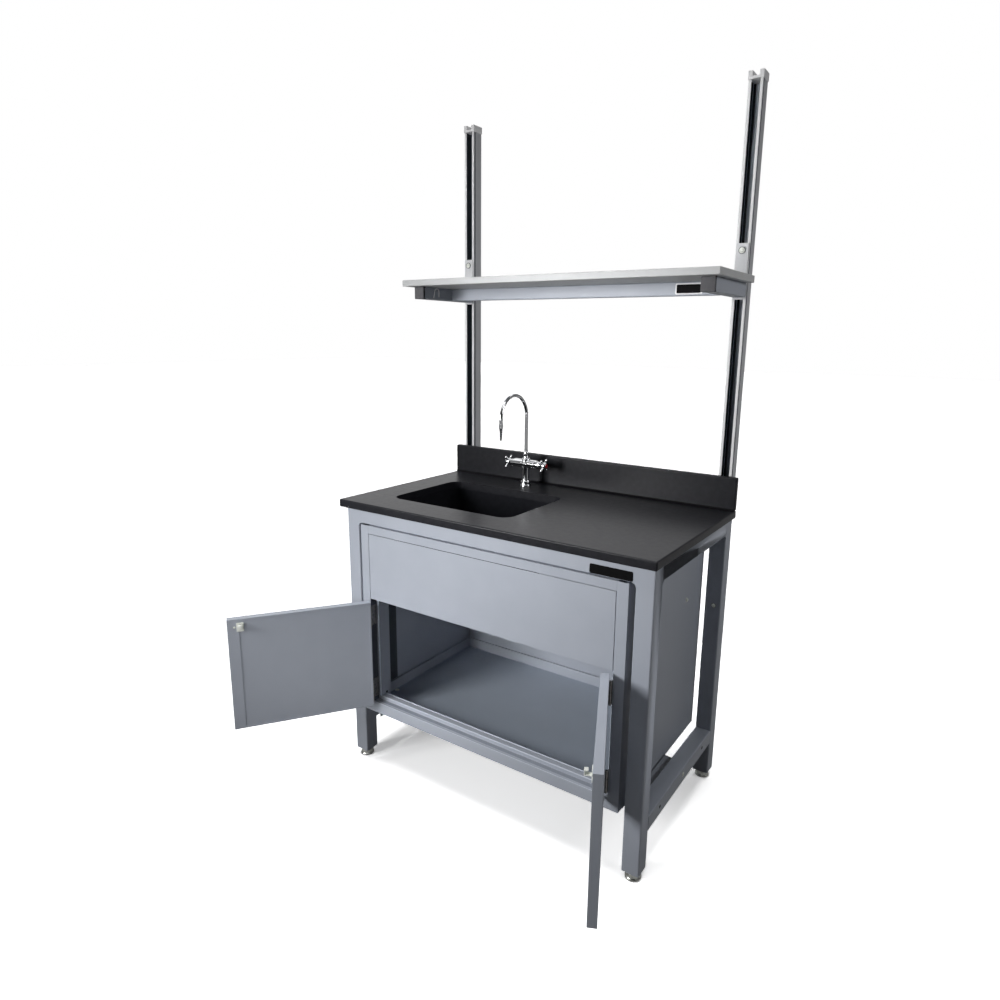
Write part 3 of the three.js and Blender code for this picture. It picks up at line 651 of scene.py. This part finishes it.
def bowl():
    """Rings of a rounded rectangle carried down the inside, across the floor to the round drain hole, and
    back up the outside: the profile insets and lowers each ring, and the floor's rings blend to a circle."""
    low, high = (np.array(p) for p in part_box("sink_bowl"))
    centre, top, under = (low + high) / 2, high[2], low[2]
    floor = under + BOWL_WALL
    half = (high - low)[:2] / 2 - BOWL_WALL - BOWL_LIP
    count = 9
    turn = np.concatenate([np.linspace(0, math.pi / 2, count) + k * math.pi / 2 for k in range(4)])
    hole = DRAIN_HOLE * np.stack([np.cos(turn), np.sin(turn)], -1)

    def ring(inset, z, blend=0.0):
        bend = BOWL_ROUND - min(inset, 0.6 * BOWL_ROUND)
        flat = round_rectangle(half[0] - inset, half[1] - inset, bend, count)
        flat = flat * (1 - blend) + hole * blend
        return np.concatenate([flat + centre[:2], np.full((len(flat), 1), z)], 1)

    cove = arc((BOWL_COVE, floor + BOWL_COVE), BOWL_COVE, 180, 270, 9)
    outer = BOWL_COVE + BOWL_WALL
    skirt = arc((BOWL_COVE, floor + BOWL_COVE), outer, 270, 180, 9)
    rows = [ring(1 * MM, top), ring(0.3 * MM, top - 0.3 * MM), ring(0, top - 1 * MM)]
    rows += [ring(inset, z) for inset, z in cove]
    rows += [ring(BOWL_COVE, floor, blend) for blend in (0.25, 0.5, 0.75, 1.0)]
    rows += [ring(BOWL_COVE, under, blend) for blend in (1.0, 0.75, 0.5, 0.25)]
    rows += [ring(inset, z) for inset, z in skirt]
    lip = BOWL_WALL + BOWL_LIP
    rows += [ring(-BOWL_WALL, top - BOWL_LIP_THICK), ring(-lip, top - BOWL_LIP_THICK), ring(-lip, top)]
    skin = surface(np.array(rows), wrap_rows=True, wrap_columns=True)
    piece("bowl", [skin], RESIN, "bench", ["sink_bowl"])
    return np.array((centre[0], centre[1], floor))


def drain(place):
    """A turned flange and tail with a strainer of rings and two crossing bars."""
    low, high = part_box("sink_drain")
    flange, tail, bore = (high[0] - low[0]) / 2, 21 * MM, 18 * MM
    foot = low[2] - place[2]
    body = [(bore, foot), (tail, foot), (tail, -22 * MM), *mm((43, -17), (44, 0)), (flange, 0),
            (flange, 0.8 * MM), (flange - 2 * MM, 2 * MM), (flange - 6 * MM, 2.8 * MM),
            *mm((41, 1.5), (38.5, -2), (37, -11), (20, -15)), (bore, -17 * MM)]
    parts = [turned(body, place, ring=True)]
    for centre in mm((12, GRATE), (21, GRATE), (30, GRATE)):
        parts.append(turned(circle(1.5 * MM, 10) + np.array(centre), place, ring=True))
    middle = place + np.array((0, 0, GRATE * MM))
    for bar in mm((37, 1.5, 1.2), (1.5, 37, 1.2)):
        parts.append(round_box(middle - bar, middle + bar, 0.8 * MM))
    piece("drain", parts, STEEL_BRIGHT, "bench", ["sink_drain"])


drain(bowl())

# mixing faucet

TAP = mid("faucet_nut")
SPOUT_R = 6 * MM
SPOUT_PLAY = 0.4 * MM           # play of the spout in its socket
SOCKET_DEEP = 3.8 * MM
CROSS_Z = mid("handle_hot")[2]
CROSS_END = 60 * MM             # half length of the cross body
SURFACE_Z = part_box("worktop")[1][2]
BARBS = 6                       # rows on the nozzle
BARBS_FROM = 18 * MM


def faucet_body():
    """A turned base and column with a socket for the spout, and a turned cross body lying along X."""
    base = SURFACE_Z
    foot, top = (point[2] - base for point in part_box("faucet_body"))
    bore = SPOUT_R + SPOUT_PLAY
    upright = [(13 * MM, foot), *mm((13, 0), (19, 0), (19, 4), (18.2, 5.5), (16.5, 6.5)),
               *arc((10.5 * MM, 14 * MM), 7 * MM, -40, 50), *mm((12.5, 21), (12, 24), (12, 60), (14, 62)),
               (14 * MM, top - 2 * MM), (12.5 * MM, top), (bore, top), (bore, top - SOCKET_DEEP)]
    half = mm((9.5, 0), (11, 1.5), (12, 12), (13.2, 13), (13.2, 16), (15, 18))
    lie = [(r, d - CROSS_END) for r, d in half] + [(r, CROSS_END - d) for r, d in half[::-1]]
    parts = [turned(upright, (TAP[0], TAP[1], base)), turned(lie, (TAP[0], TAP[1], CROSS_Z), (1, 0, 0))]
    piece("mixing_body", parts, CHROME, "bench", ["faucet_body"])


def gooseneck():
    """A round tube carried up, over a half circle toward the front and down, with a turned collar below."""
    low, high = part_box("gooseneck")
    start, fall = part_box("faucet_body")[1][2] - SOCKET_DEEP + SPOUT_PLAY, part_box("nozzle")[1][2]
    bend = (TAP[1] + SPOUT_R - low[1]) / 2 - SPOUT_R
    top = high[2] - SPOUT_R - bend
    t = np.radians(np.linspace(0, 180, 41))
    over = np.stack([np.full(41, TAP[0]), TAP[1] - bend + bend * np.cos(t), top + bend * np.sin(t)], -1)
    rise = np.linspace((TAP[0], TAP[1], start), over[0], 12)[:-1]
    drop = np.linspace(over[-1], (TAP[0], over[-1][1], fall), 4)[1:]
    path = np.concatenate([rise, over, drop])
    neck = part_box("faucet_body")[1][2] + 0.3 * MM
    collar = [(SPOUT_R, 0), *mm((9, 0), (9.5, 0.6), (9.5, 6), (8.8, 7), (9.2, 8), (9.2, 20), (8.2, 23),
                                (6.8, 25.5)), (SPOUT_R, 26 * MM)]
    parts = [carried(path, circle(SPOUT_R, 24)), turned(collar, (TAP[0], TAP[1], neck))]
    piece("spout_tube", parts, CHROME, "spout", ["gooseneck"])


def hose_nozzle():
    """A turned ferrule and a tapering end with rows of barbs."""
    low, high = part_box("nozzle")
    tip = high[2] - low[2]
    profile = [(SPOUT_R, 0), *mm((7.5, 1), (7.5, 9), (7, 9.6), (7, 10.4), (7.5, 11), (7.5, 14), (5.6, 16))]
    step = (tip - BARBS_FROM) / BARBS
    for i in range(BARBS):
        wide, z = (5.8 - 0.35 * i) * MM, BARBS_FROM + i * step
        profile += [(wide - 1.0 * MM, z), (wide, z + 0.8 * MM), (wide - 0.2 * MM, z + 1.6 * MM),
                    (wide - 1.0 * MM, z + step - 0.5 * MM)]
    profile += [(2.6 * MM, tip), (1.6 * MM, tip)]
    place = corner("nozzle", (0, 0, 1))
    piece("hose_nozzle", [turned(profile, place, (0, 0, -1), 32)], CHROME, "spout", ["nozzle"])


def handle(name, sx, disc):
    """A turned hub with four turned arms that swell to round ends, and a coloured button."""
    body = name + "_handle"
    inner = corner("handle_" + name, (-sx, 0, 0))[0]
    place = (inner, TAP[1], CROSS_Z)
    hub = mm((8.5, 0), (9.5, 1), (11, 4), (11, 17), (10.4, 19.5), (8.6, 21.6), (8, 22))
    parts = [turned(hub, place, (sx, 0, 0), 40)]
    arm = [*mm((4.2, 6), (3.7, 12), (3.4, 17)), *arc((0, 22.2 * MM), 4.8 * MM, -45, 88, 9)]
    for quarter in range(4):
        angle = math.radians(45 + 90 * quarter)
        out = (0, math.cos(angle), math.sin(angle))
        parts.append(turned(arm, (inner + sx * 12 * MM, TAP[1], CROSS_Z), out, 24))
    piece(name + "_arms", parts, CHROME, body, ["handle_" + name])
    button = mm((6.2, 0), (7, 0.2), (7, 0.9), (6.3, 1.4), (3, 1.5))
    seat = (inner + sx * 22 * MM, TAP[1], CROSS_Z)
    piece(name + "_button", [turned(button, seat, (sx, 0, 0), 32)], disc, body,
          ["index_" + name])


faucet_body()
gooseneck()
hose_nozzle()
handle("cold", -1, COLD)
handle("hot", 1, HOT)

# levelling feet

def levelling_foot(end, side):
    """A turned pad and neck on a stem whose thread is a row of small ridges."""
    node = f"foot_{end}_{side}"
    low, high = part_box(node)
    pad = (high[0] - low[0]) / 2
    neck, height = 19.5 * MM, 21 * MM
    profile = [(pad - 2 * MM, 0), (pad - 0.6 * MM, 0.5 * MM), (pad, 1.8 * MM), (pad, 4.6 * MM),
               (pad - 0.8 * MM, 6 * MM), (neck + 0.8 * MM, 7.5 * MM), (neck, 10 * MM),
               (neck - 0.5 * MM, height - 3 * MM), (neck - 2 * MM, height - 0.8 * MM),
               (neck - 4 * MM, height), (6 * MM, height)]
    pitch = 1.75 * MM
    turns = np.arange(height + 1 * MM, high[2] - 2 * MM, pitch)
    ridges = np.stack([np.stack([np.full_like(turns, 5.3 * MM), turns], -1),
                       np.stack([np.full_like(turns, 6 * MM), turns + pitch / 2], -1)], 1).reshape(-1, 2)
    profile += [*ridges, (5 * MM, high[2])]
    glide = turned(profile, corner(node, (0, 0, -1)))
    piece(f"{end}_{side}_glide", [glide], ZINC, BODY_OF[node], [node], 50)


for end in ENDS:
    for side in SIDES:
        levelling_foot(end, side)

# fasteners, plates, plugs and trim

TOP_CORNER = np.array(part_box("worktop")[0])      # front left corner of the worktop, for measured places
BENCH_BOLT = 5 * MM             # half width of a head
LEG_BOLT_Z = 0.602
SIDE_BOLT = (0.440, 0.651)      # behind the worktop's front, and above the floor
STRETCHER_Z = 0.160             # bolt and holes of the stretchers
STRETCHER_BOLT = 0.324          # behind the worktop's front
STRETCHER_HOLES = (0.150, 0.488)
JAMB_HOLE = (-0.0746, 0.246)    # y and z
TRAY_BOLT = (-0.4063, -0.0015)  # x and y
SHELF_BOLT = 6.4 * MM
DOOR_THICK = 22 * MM
DOOR_ALONG = {"left": (-0.574, -0.819, 0), "right": (0.4226, -0.906, 0)}    # from hinge to free edge
SCREW_INSET = 20 * MM           # screw from the door's free edge
SCREW_DROP = 25 * MM            # and from its top
FRONT_PLATE = (0.939, 0.8445)   # right of the worktop's left end, and above the floor
SHELF_PLATE = 86 * MM           # middle of the plate from the right arm
SLOT_DARK = 31 * MM             # painted shade on the front of each slot wall
SLOT_SHADED = 0.21              # share of each slot's back in painted shade
UPRIGHT_WALL = 3 * MM
LIP_WIDE = 7.8 * MM             # front lips of an upright
CLIP_BEND = 11 * MM
CLIP_Y = 0.268


def dome_bolt(place, direction, radius):
    """A washer under a domed head."""
    r = radius
    washer = [(1.3 * r, 0), (1.3 * r, 0.12 * r), (1.2 * r, 0.2 * r), (0.2 * r, 0.2 * r)]
    head = [(r, 0.1 * r), *(arc((0, 0.1 * r), r, 0, 88, 7) * np.array((1, 0.55)))]
    return [turned(washer, place, direction, 28), turned(head, place, direction, 28)]


def dark_ring(place, direction, radius):
    """A thin dark ring round a bolt: painted shade round its head."""
    r = radius
    return turned([(1.55 * r, -0.05 * r), (1.55 * r, 0.08 * r), (0.2 * r, 0.08 * r)], place, direction, 28)


def hex_bolt(place, direction, radius):
    """A washer under a six-sided head with a chamfered top."""
    r = radius
    washer = [(1.35 * r, 0), (1.35 * r, 0.15 * r), (0.2 * r, 0.15 * r)]
    head = [(r, 0.1 * r), (r, 0.75 * r), (0.85 * r, 0.85 * r), (0.2 * r, 0.85 * r)]
    return [turned(washer, place, direction, 28), turned(head, place, direction, 6)]


def bench_fasteners():
    """Bolts of the rear legs, cabinet sides and end stretchers, the same on both sides, dark rings of painted
    shade round the leg bolts, holes of the stretchers and the left jamb, and a bolt in the tray."""
    bolts, rings, holes = [], [], []
    dot = mm((5, -0.3), (5, 0.15), (4.6, 0.25), (0.5, 0.25))
    small_dot = mm((4, -0.3), (4, 0.15), (0.5, 0.25))
    for sx, side in ((-1, "left"), (1, "right")):
        leg_x, leg_front, _ = corner("leg_rear_" + side, (0, -1, 0))
        place = (leg_x + sx * 3 * MM, leg_front, LEG_BOLT_Z)
        bolts += hex_bolt(place, (0, -1, 0), BENCH_BOLT)
        rings.append(dark_ring(place, (0, -1, 0), BENCH_BOLT))
        wall_x = corner("stile_" + side, (sx, 0, 0))[0] - sx * SHEET
        bolts += hex_bolt((wall_x, TOP_CORNER[1] + SIDE_BOLT[0], SIDE_BOLT[1]), (sx, 0, 0), BENCH_BOLT)
        face_x = corner("stretcher_" + side, (sx, 0, 0))[0]
        bolts += dome_bolt((face_x, TOP_CORNER[1] + STRETCHER_BOLT, STRETCHER_Z), (sx, 0, 0), BENCH_BOLT)
        holes += [turned(dot, (face_x, TOP_CORNER[1] + y, STRETCHER_Z), (sx, 0, 0), 28)
                  for y in STRETCHER_HOLES]
    jamb_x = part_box("bottom_rail")[0][0] + STOP_WIDE
    holes.append(turned(small_dot, (jamb_x, *JAMB_HOLE), (1, 0, 0), 28))
    tray_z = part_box("cabinet_floor")[0][2] + SHEET
    piece("tray_bolt", dome_bolt((*TRAY_BOLT, tray_z), (0, 0, 1), 6 * MM), CATCH, "bench")
    piece("bench_bolts", bolts, CATCH, "bench")
    piece("bench_bolt_shades", rings, SHADE, "bench")
    piece("stretcher_holes", holes, HOLE, "bench")


def shelf_fasteners():
    """A domed bolt on each bracket plate, with a dark ring of painted shade round it."""
    bolts, rings = [], []
    plate_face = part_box("shelf_board")[1][1]
    for side in SIDES:
        bracket_x, _, bracket_top = corner("shelf_bracket_" + side, (0, 0, 1))
        place = (bracket_x, plate_face - 2.5 * MM, bracket_top - 20 * MM)
        bolts += dome_bolt(place, (0, -1, 0), SHELF_BOLT)
        rings.append(dark_ring(place, (0, -1, 0), SHELF_BOLT))
    piece("bracket_bolts", bolts, CATCH, "shelf")
    piece("bracket_bolt_shades", rings, SHADE, "shelf")


def catch_screws():
    """A small screw beside each door catch, on the inner face of the open door."""
    for side, sx in (("left", -1), ("right", 1)):
        along = np.array(DOOR_ALONG[side])
        inward = sx * np.array((along[1], -along[0], 0))
        low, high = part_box("door_" + side)
        free_edge = np.array((low[0] if sx < 0 else high[0], low[1], high[2] - SCREW_DROP))
        free_edge[0] += inward[0] * DOOR_THICK
        piece("catch_screw_" + side, dome_bolt(free_edge - along * SCREW_INSET, inward, 2.6 * MM), CATCH,
              side + "_door")


def bare_plate(middle, half_wide, half_tall, bend, thick):
    """A rounded rectangle pushed out toward the front."""
    return [prism(round_rectangle(half_wide, half_tall, bend), middle, (1, 0, 0), (0, -1, 0), thick)]


def bare_plates():
    """Two bare black plates with rounded ends, on the front rail and, in a pale border, on the shelf rail."""
    middle = (TOP_CORNER[0] + FRONT_PLATE[0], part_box("rail_front")[0][1], FRONT_PLATE[1])
    piece("front_plate", bare_plate(middle, 59 * MM, 12.5 * MM, 4 * MM, 1.2 * MM), PLATE, "bench")
    middle = (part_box("shelf_arm_right")[0][0] - SHELF_PLATE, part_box("shelf_rail")[0][1], mid("shelf_rail")[2])
    border = bare_plate(middle, 39.5 * MM, 15.5 * MM, 4 * MM, 0.8 * MM)
    piece("shelf_plate_border", border, CAP_AND_HIGHLIGHT, "shelf")
    plate = bare_plate(middle, 35.5 * MM, 11.8 * MM, 3 * MM, 1.3 * MM)
    piece("shelf_plate", plate, PLATE, "shelf")


def arm_plugs():
    """A plug that closes the front end of each shelf arm, and the dark seam behind it."""
    plugs, seams = [], []
    for side in SIDES:
        low, high = (np.array(p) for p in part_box("shelf_arm_" + side))
        plugs.append(round_box(low + (0.2 * MM, -3 * MM, 0.2 * MM),
                               (high[0] - 0.2 * MM, low[1] + 12 * MM, high[2] - 0.2 * MM), 1.6 * MM))
        seams.append(round_box((low[0] - 0.15 * MM, low[1] + 0.5 * MM, low[2] - 0.15 * MM),
                               (high[0] + 0.15 * MM, low[1] + 4.5 * MM, high[2] + 0.15 * MM), 0.1 * MM))
    piece("arm_plugs", plugs, ARM_PLUG, "shelf")
    piece("plug_seams", seams, HOLE, "shelf")


def slot_linings():
    """Thin linings inside each upright: dark on the front part of each side and on the left of its back, painted
    shade, and the lit colour elsewhere; pale faces on its two front lips, a painted highlight, and a dark line of
    painted shade along each side just behind them."""
    thin, gap, edge = 0.4 * MM, 0.05 * MM, 0.1 * MM
    inset = UPRIGHT_WALL + gap
    shade_linings, lit_linings, groove_shades, faces = [], [], [], []
    for side in SIDES:
        low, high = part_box("upright_" + side)
        tall = (low[2] + 1 * MM, high[2] - 0.5 * MM)
        front, back = low[1] + inset, high[1] - inset
        for x, sx in ((low[0], 1), (high[0], -1)):
            across = (x + sx * inset, x + sx * (inset + thin))
            shade_linings.append(strip(across, (front, front + SLOT_DARK), tall, edge))
            lit_linings.append(strip(across, (front + SLOT_DARK, back), tall, edge))
            across = (x - sx * 0.12 * MM, x + sx * 0.3 * MM)
            groove_shades.append(strip(across, (low[1] + 4 * MM, low[1] + 10 * MM), tall, edge))
            across = (x + sx * 0.5 * MM, x + sx * LIP_WIDE)
            faces.append(strip(across, (low[1] - 0.06 * MM, low[1] + 0.3 * MM), tall, edge / 2))
        left, right = low[0] + inset + thin, high[0] - inset - thin
        split = left + SLOT_SHADED * (right - left)
        shade_linings.append(strip((left, split), (back - thin, back), tall, edge))
        lit_linings.append(strip((split, right), (back - thin, back), tall, edge))
    piece("slot_shade_linings", shade_linings, SLOT, "bench")
    piece("slot_lit_linings", lit_linings, SLOT_BACK, "bench")
    # dark lines behind the lips: painted shade of the grooves there
    piece("upright_groove_shades", groove_shades, SHADE, "bench")
    # pale faces on the front lips: painted highlight
    piece("upright_lip_highlights", faces, CAP_AND_HIGHLIGHT, "bench")


def sealing_bead():
    """A small hollow fillet of sealant along the foot of the backsplash."""
    low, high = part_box("backsplash")
    r = 6 * MM
    hollow = arc((r, r), r, 270, 180, 7)
    outline = np.concatenate([[(-4 * MM, -0.5 * MM)], [(r, -0.5 * MM)], hollow, [(-4 * MM, r)]])
    bead = prism(outline, (low[0] + 2 * MM, low[1], low[2]), (0, -1, 0), (1, 0, 0), high[0] - low[0] - 4 * MM)
    piece("sealing_bead", [bead], SEALANT, "bench")


def cable_clip():
    """A bent wire clip hanging inside the left shelf arm: up, over a half circle and down."""
    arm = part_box("shelf_arm_left")
    x, y, z, r = arm[1][0] + 2.0 * MM, CLIP_Y, arm[1][2] - 14 * MM, CLIP_BEND
    t = np.radians(np.linspace(180, 0, 21))
    over = np.stack([np.full(21, x), y + r * np.cos(t), z + r * np.sin(t)], -1)
    legs = [np.linspace((x, y - r - 6 * MM, z - 20 * MM), over[0], 5)[:-1],
            np.linspace(over[-1], (x, y + r, z - 16 * MM), 5)[1:]]
    wire = np.concatenate([legs[0], over, legs[1]])
    piece("cable_clip", [carried(wire, circle(1.7 * MM, 10))], CAP_AND_HIGHLIGHT, "shelf")


bench_fasteners()
catch_screws()
shelf_fasteners()
bare_plates()
arm_plugs()
slot_linings()
sealing_bead()
cable_clip()
nut = frame["nodes"]["faucet_nut"].data
nut.materials.clear()
nut.materials.append(STEEL)

# floor, light and camera

FLOOR_WIDE = 60
FLOOR_LIFT = 0.30               # white added to the floor where it is seen
FLOOR_SHADE = 1.85              # how much of the light and shadow on the floor is seen
FLOOR_GLOSS = 0.18              # share of that seen in a gloss
FLOOR_BOUNCE = 0.12             # how much of its light the floor throws back up
WORLD_LEVEL = 0.05              # even light on everything
GLOSS_LEFT, GLOSS_RIGHT, GLOSS_ABOVE = 0.9, 0.12, 1.4   # the room that a gloss sees
GLOSS_FRONT = 0.25              # share of the left and right levels toward the front
# lamps: name, place, aim, level, size and spread in degrees
LAMPS = (
    ("front_light", (-1.20, -2.30, 1.45), (0.15, 0.0, 1.05), 1.31, 0.9, 75),
    ("cabinet_light", (-0.30, -3.20, 0.80), (-0.20, 0.42, 0.27), 0.40, 0.4, 16),
    ("door_light", (1.10, -2.70, 1.10), (-0.62, -0.32, 0.40), 0.24, 0.4, 20),
    ("shelf_light", (0.10, -1.70, 0.25), (0.05, 0.28, 1.56), 0.30, 0.5, 36),
    ("upright_light", (0.10, -2.60, 2.10), (0.03, 0.48, 2.00), 0.64, 0.5, 24),
    ("right_light", (2.80, 0.60, 1.95), (0.55, 0.30, 1.20), 0.40, 1.0, 80),
    ("back_light", (0.30, 3.40, 1.60), (0.03, 0.50, 0.95), 0.75, 1.0, 90),
)
# suns: name, direction toward it, level and spread in degrees
SUNS = (
    ("top_light", (-0.17, -0.10, 1.0), 0.50, 28),
    ("floor_light", (-0.02, -0.03, 1.0), 0.50, 26),
)
CAMERA_PLACE = (1.6428, -1.4571, 1.4076)    # from the worktop's front left corner, and above the floor
CAMERA_TURN = (0.587756, -0.214742, 0.0132655)      # yaw, pitch and roll
CAMERA_LENS = 24.922
CAMERA_SHIFT = (-0.01662, -0.01204)


def seen_rays(tree, gloss=0.0):
    """1 for rays from the camera or through glass, a share for rays that a gloss throws back, and 0 for the
    light that the scene throws."""
    path = tree.nodes.new("ShaderNodeLightPath")
    seen = worked_out(tree, "MAXIMUM", path.outputs["Is Camera Ray"], path.outputs["Is Transmission Ray"])
    if gloss:
        shared = worked_out(tree, "MULTIPLY", path.outputs["Is Glossy Ray"], gloss)
        seen = worked_out(tree, "MAXIMUM", seen, shared)
    return seen


def studio_floor():
    """A wide white floor. Where it is seen, white is added to it and its light and shadow count for more than
    in the light that it throws back."""
    bpy.ops.mesh.primitive_plane_add(size=FLOOR_WIDE, location=(0, 0, 0))
    floor = bpy.context.object
    floor.name = "floor"
    material = bpy.data.materials.new("floor_white")
    material.use_nodes = True
    tree = material.node_tree
    shader = tree.nodes["Principled BSDF"]
    shader.inputs["Roughness"].default_value = 0.9
    shader.inputs["Specular IOR Level"].default_value = 0.0
    shader.inputs["Emission Color"].default_value = (1, 1, 1, 1)
    seen = seen_rays(tree, FLOOR_GLOSS)
    tree.links.new(worked_out(tree, "MULTIPLY", seen, FLOOR_LIFT), shader.inputs["Emission Strength"])
    tree.links.new(ranged(tree, seen, 0, 1, FLOOR_BOUNCE, FLOOR_SHADE), shader.inputs["Base Color"])
    floor.data.materials.append(material)
    return floor


def studio_world():
    """White where it is seen, and an even soft light on everything. Gloss sees a room that is light above and
    at the back on the left, and dark on the right and in front."""
    world = bpy.data.worlds.new("studio")
    bpy.context.scene.world = world
    world.use_nodes = True
    tree = world.node_tree
    background = tree.nodes["Background"]
    background.inputs["Color"].default_value = (1, 1, 1, 1)
    parts = tree.nodes.new("ShaderNodeSeparateXYZ")
    tree.links.new(tree.nodes.new("ShaderNodeTexCoord").outputs["Generated"], parts.inputs[0])
    across = ranged(tree, parts.outputs["X"], -0.6, 0.5, GLOSS_LEFT, GLOSS_RIGHT, smooth=True)
    behind = ranged(tree, parts.outputs["Y"], -0.3, 0.5, GLOSS_FRONT, 1, smooth=True)
    above = ranged(tree, parts.outputs["Z"], 0.60, 0.80, 0, GLOSS_ABOVE, smooth=True)
    room = worked_out(tree, "MAXIMUM", worked_out(tree, "MULTIPLY", across, behind), above)
    path = tree.nodes.new("ShaderNodeLightPath")
    thrown = mixed(tree, path.outputs["Is Glossy Ray"], WORLD_LEVEL, room)
    tree.links.new(mixed(tree, seen_rays(tree), thrown, 1), background.inputs["Strength"])


def soft_lamp(name, place, aim, level, size, spread):
    """A square lamp aimed at a point: level is what it adds to a white face there that looks straight at it.
    A spread below 180 degrees lets the light fade away from its middle."""
    place, aim = Vector(place), Vector(aim)
    data = bpy.data.lights.new(name, "AREA")
    half = math.radians(spread) / 2
    data.size = size
    data.spread = 2 * half
    data.energy = level * math.pi ** 2 * (place - aim).length_squared * (1 - half / math.tan(half))
    lamp = bpy.data.objects.new(name, data)
    lamp.location = place
    lamp.rotation_euler = (place - aim).to_track_quat("Z", "Y").to_euler()
    lamp.visible_camera = False
    bpy.context.scene.collection.objects.link(lamp)
    return lamp


def soft_sun(name, toward, level, spread):
    """Even light from one direction: level is what it adds to a white face that looks straight at it."""
    data = bpy.data.lights.new(name, "SUN")
    data.energy = level * math.pi
    data.angle = math.radians(spread)
    lamp = bpy.data.objects.new(name, data)
    lamp.rotation_euler = Vector(toward).to_track_quat("Z", "Y").to_euler()
    bpy.context.scene.collection.objects.link(lamp)
    return lamp


def share_light(lamp, thing, state):
    """Keep a lamp's light off one object ("EXCLUDE"), or on that object alone ("INCLUDE")."""
    shared = bpy.data.collections.new(lamp.name + "_shared")
    shared.objects.link(thing)
    shared.collection_objects[0].light_linking.link_state = state
    lamp.light_linking.receiver_collection = shared


def photo_camera():
    """The photograph's viewpoint, measured from the worktop's front left corner."""
    yaw, pitch, roll = CAMERA_TURN
    place = Vector((TOP_CORNER[0] + CAMERA_PLACE[0], TOP_CORNER[1] + CAMERA_PLACE[1], CAMERA_PLACE[2]))
    ahead = Vector((-math.sin(yaw) * math.cos(pitch), math.cos(yaw) * math.cos(pitch), math.sin(pitch)))
    level = Vector((math.cos(yaw), math.sin(yaw), 0))
    rise = level.cross(ahead)
    right = math.cos(roll) * level + math.sin(roll) * rise
    up = -math.sin(roll) * level + math.cos(roll) * rise
    data = bpy.data.cameras.new("photo_camera")
    data.lens = CAMERA_LENS
    data.shift_x, data.shift_y = CAMERA_SHIFT
    camera = bpy.data.objects.new("photo_camera", data)
    camera.matrix_world = Matrix((right, up, -ahead)).transposed().to_4x4()
    camera.location = place
    bpy.context.scene.collection.objects.link(camera)
    bpy.context.scene.camera = camera


floor = studio_floor()
studio_world()
lights = {row[0]: soft_lamp(*row) for row in LAMPS} | {row[0]: soft_sun(*row) for row in SUNS}
lights["back_light"].visible_glossy = False
for name in ("cabinet_light", "back_light", "top_light"):
    share_light(lights[name], floor, "EXCLUDE")
share_light(lights["floor_light"], floor, "INCLUDE")
photo_camera()
bpy.context.scene.view_settings.view_transform = "Standard"
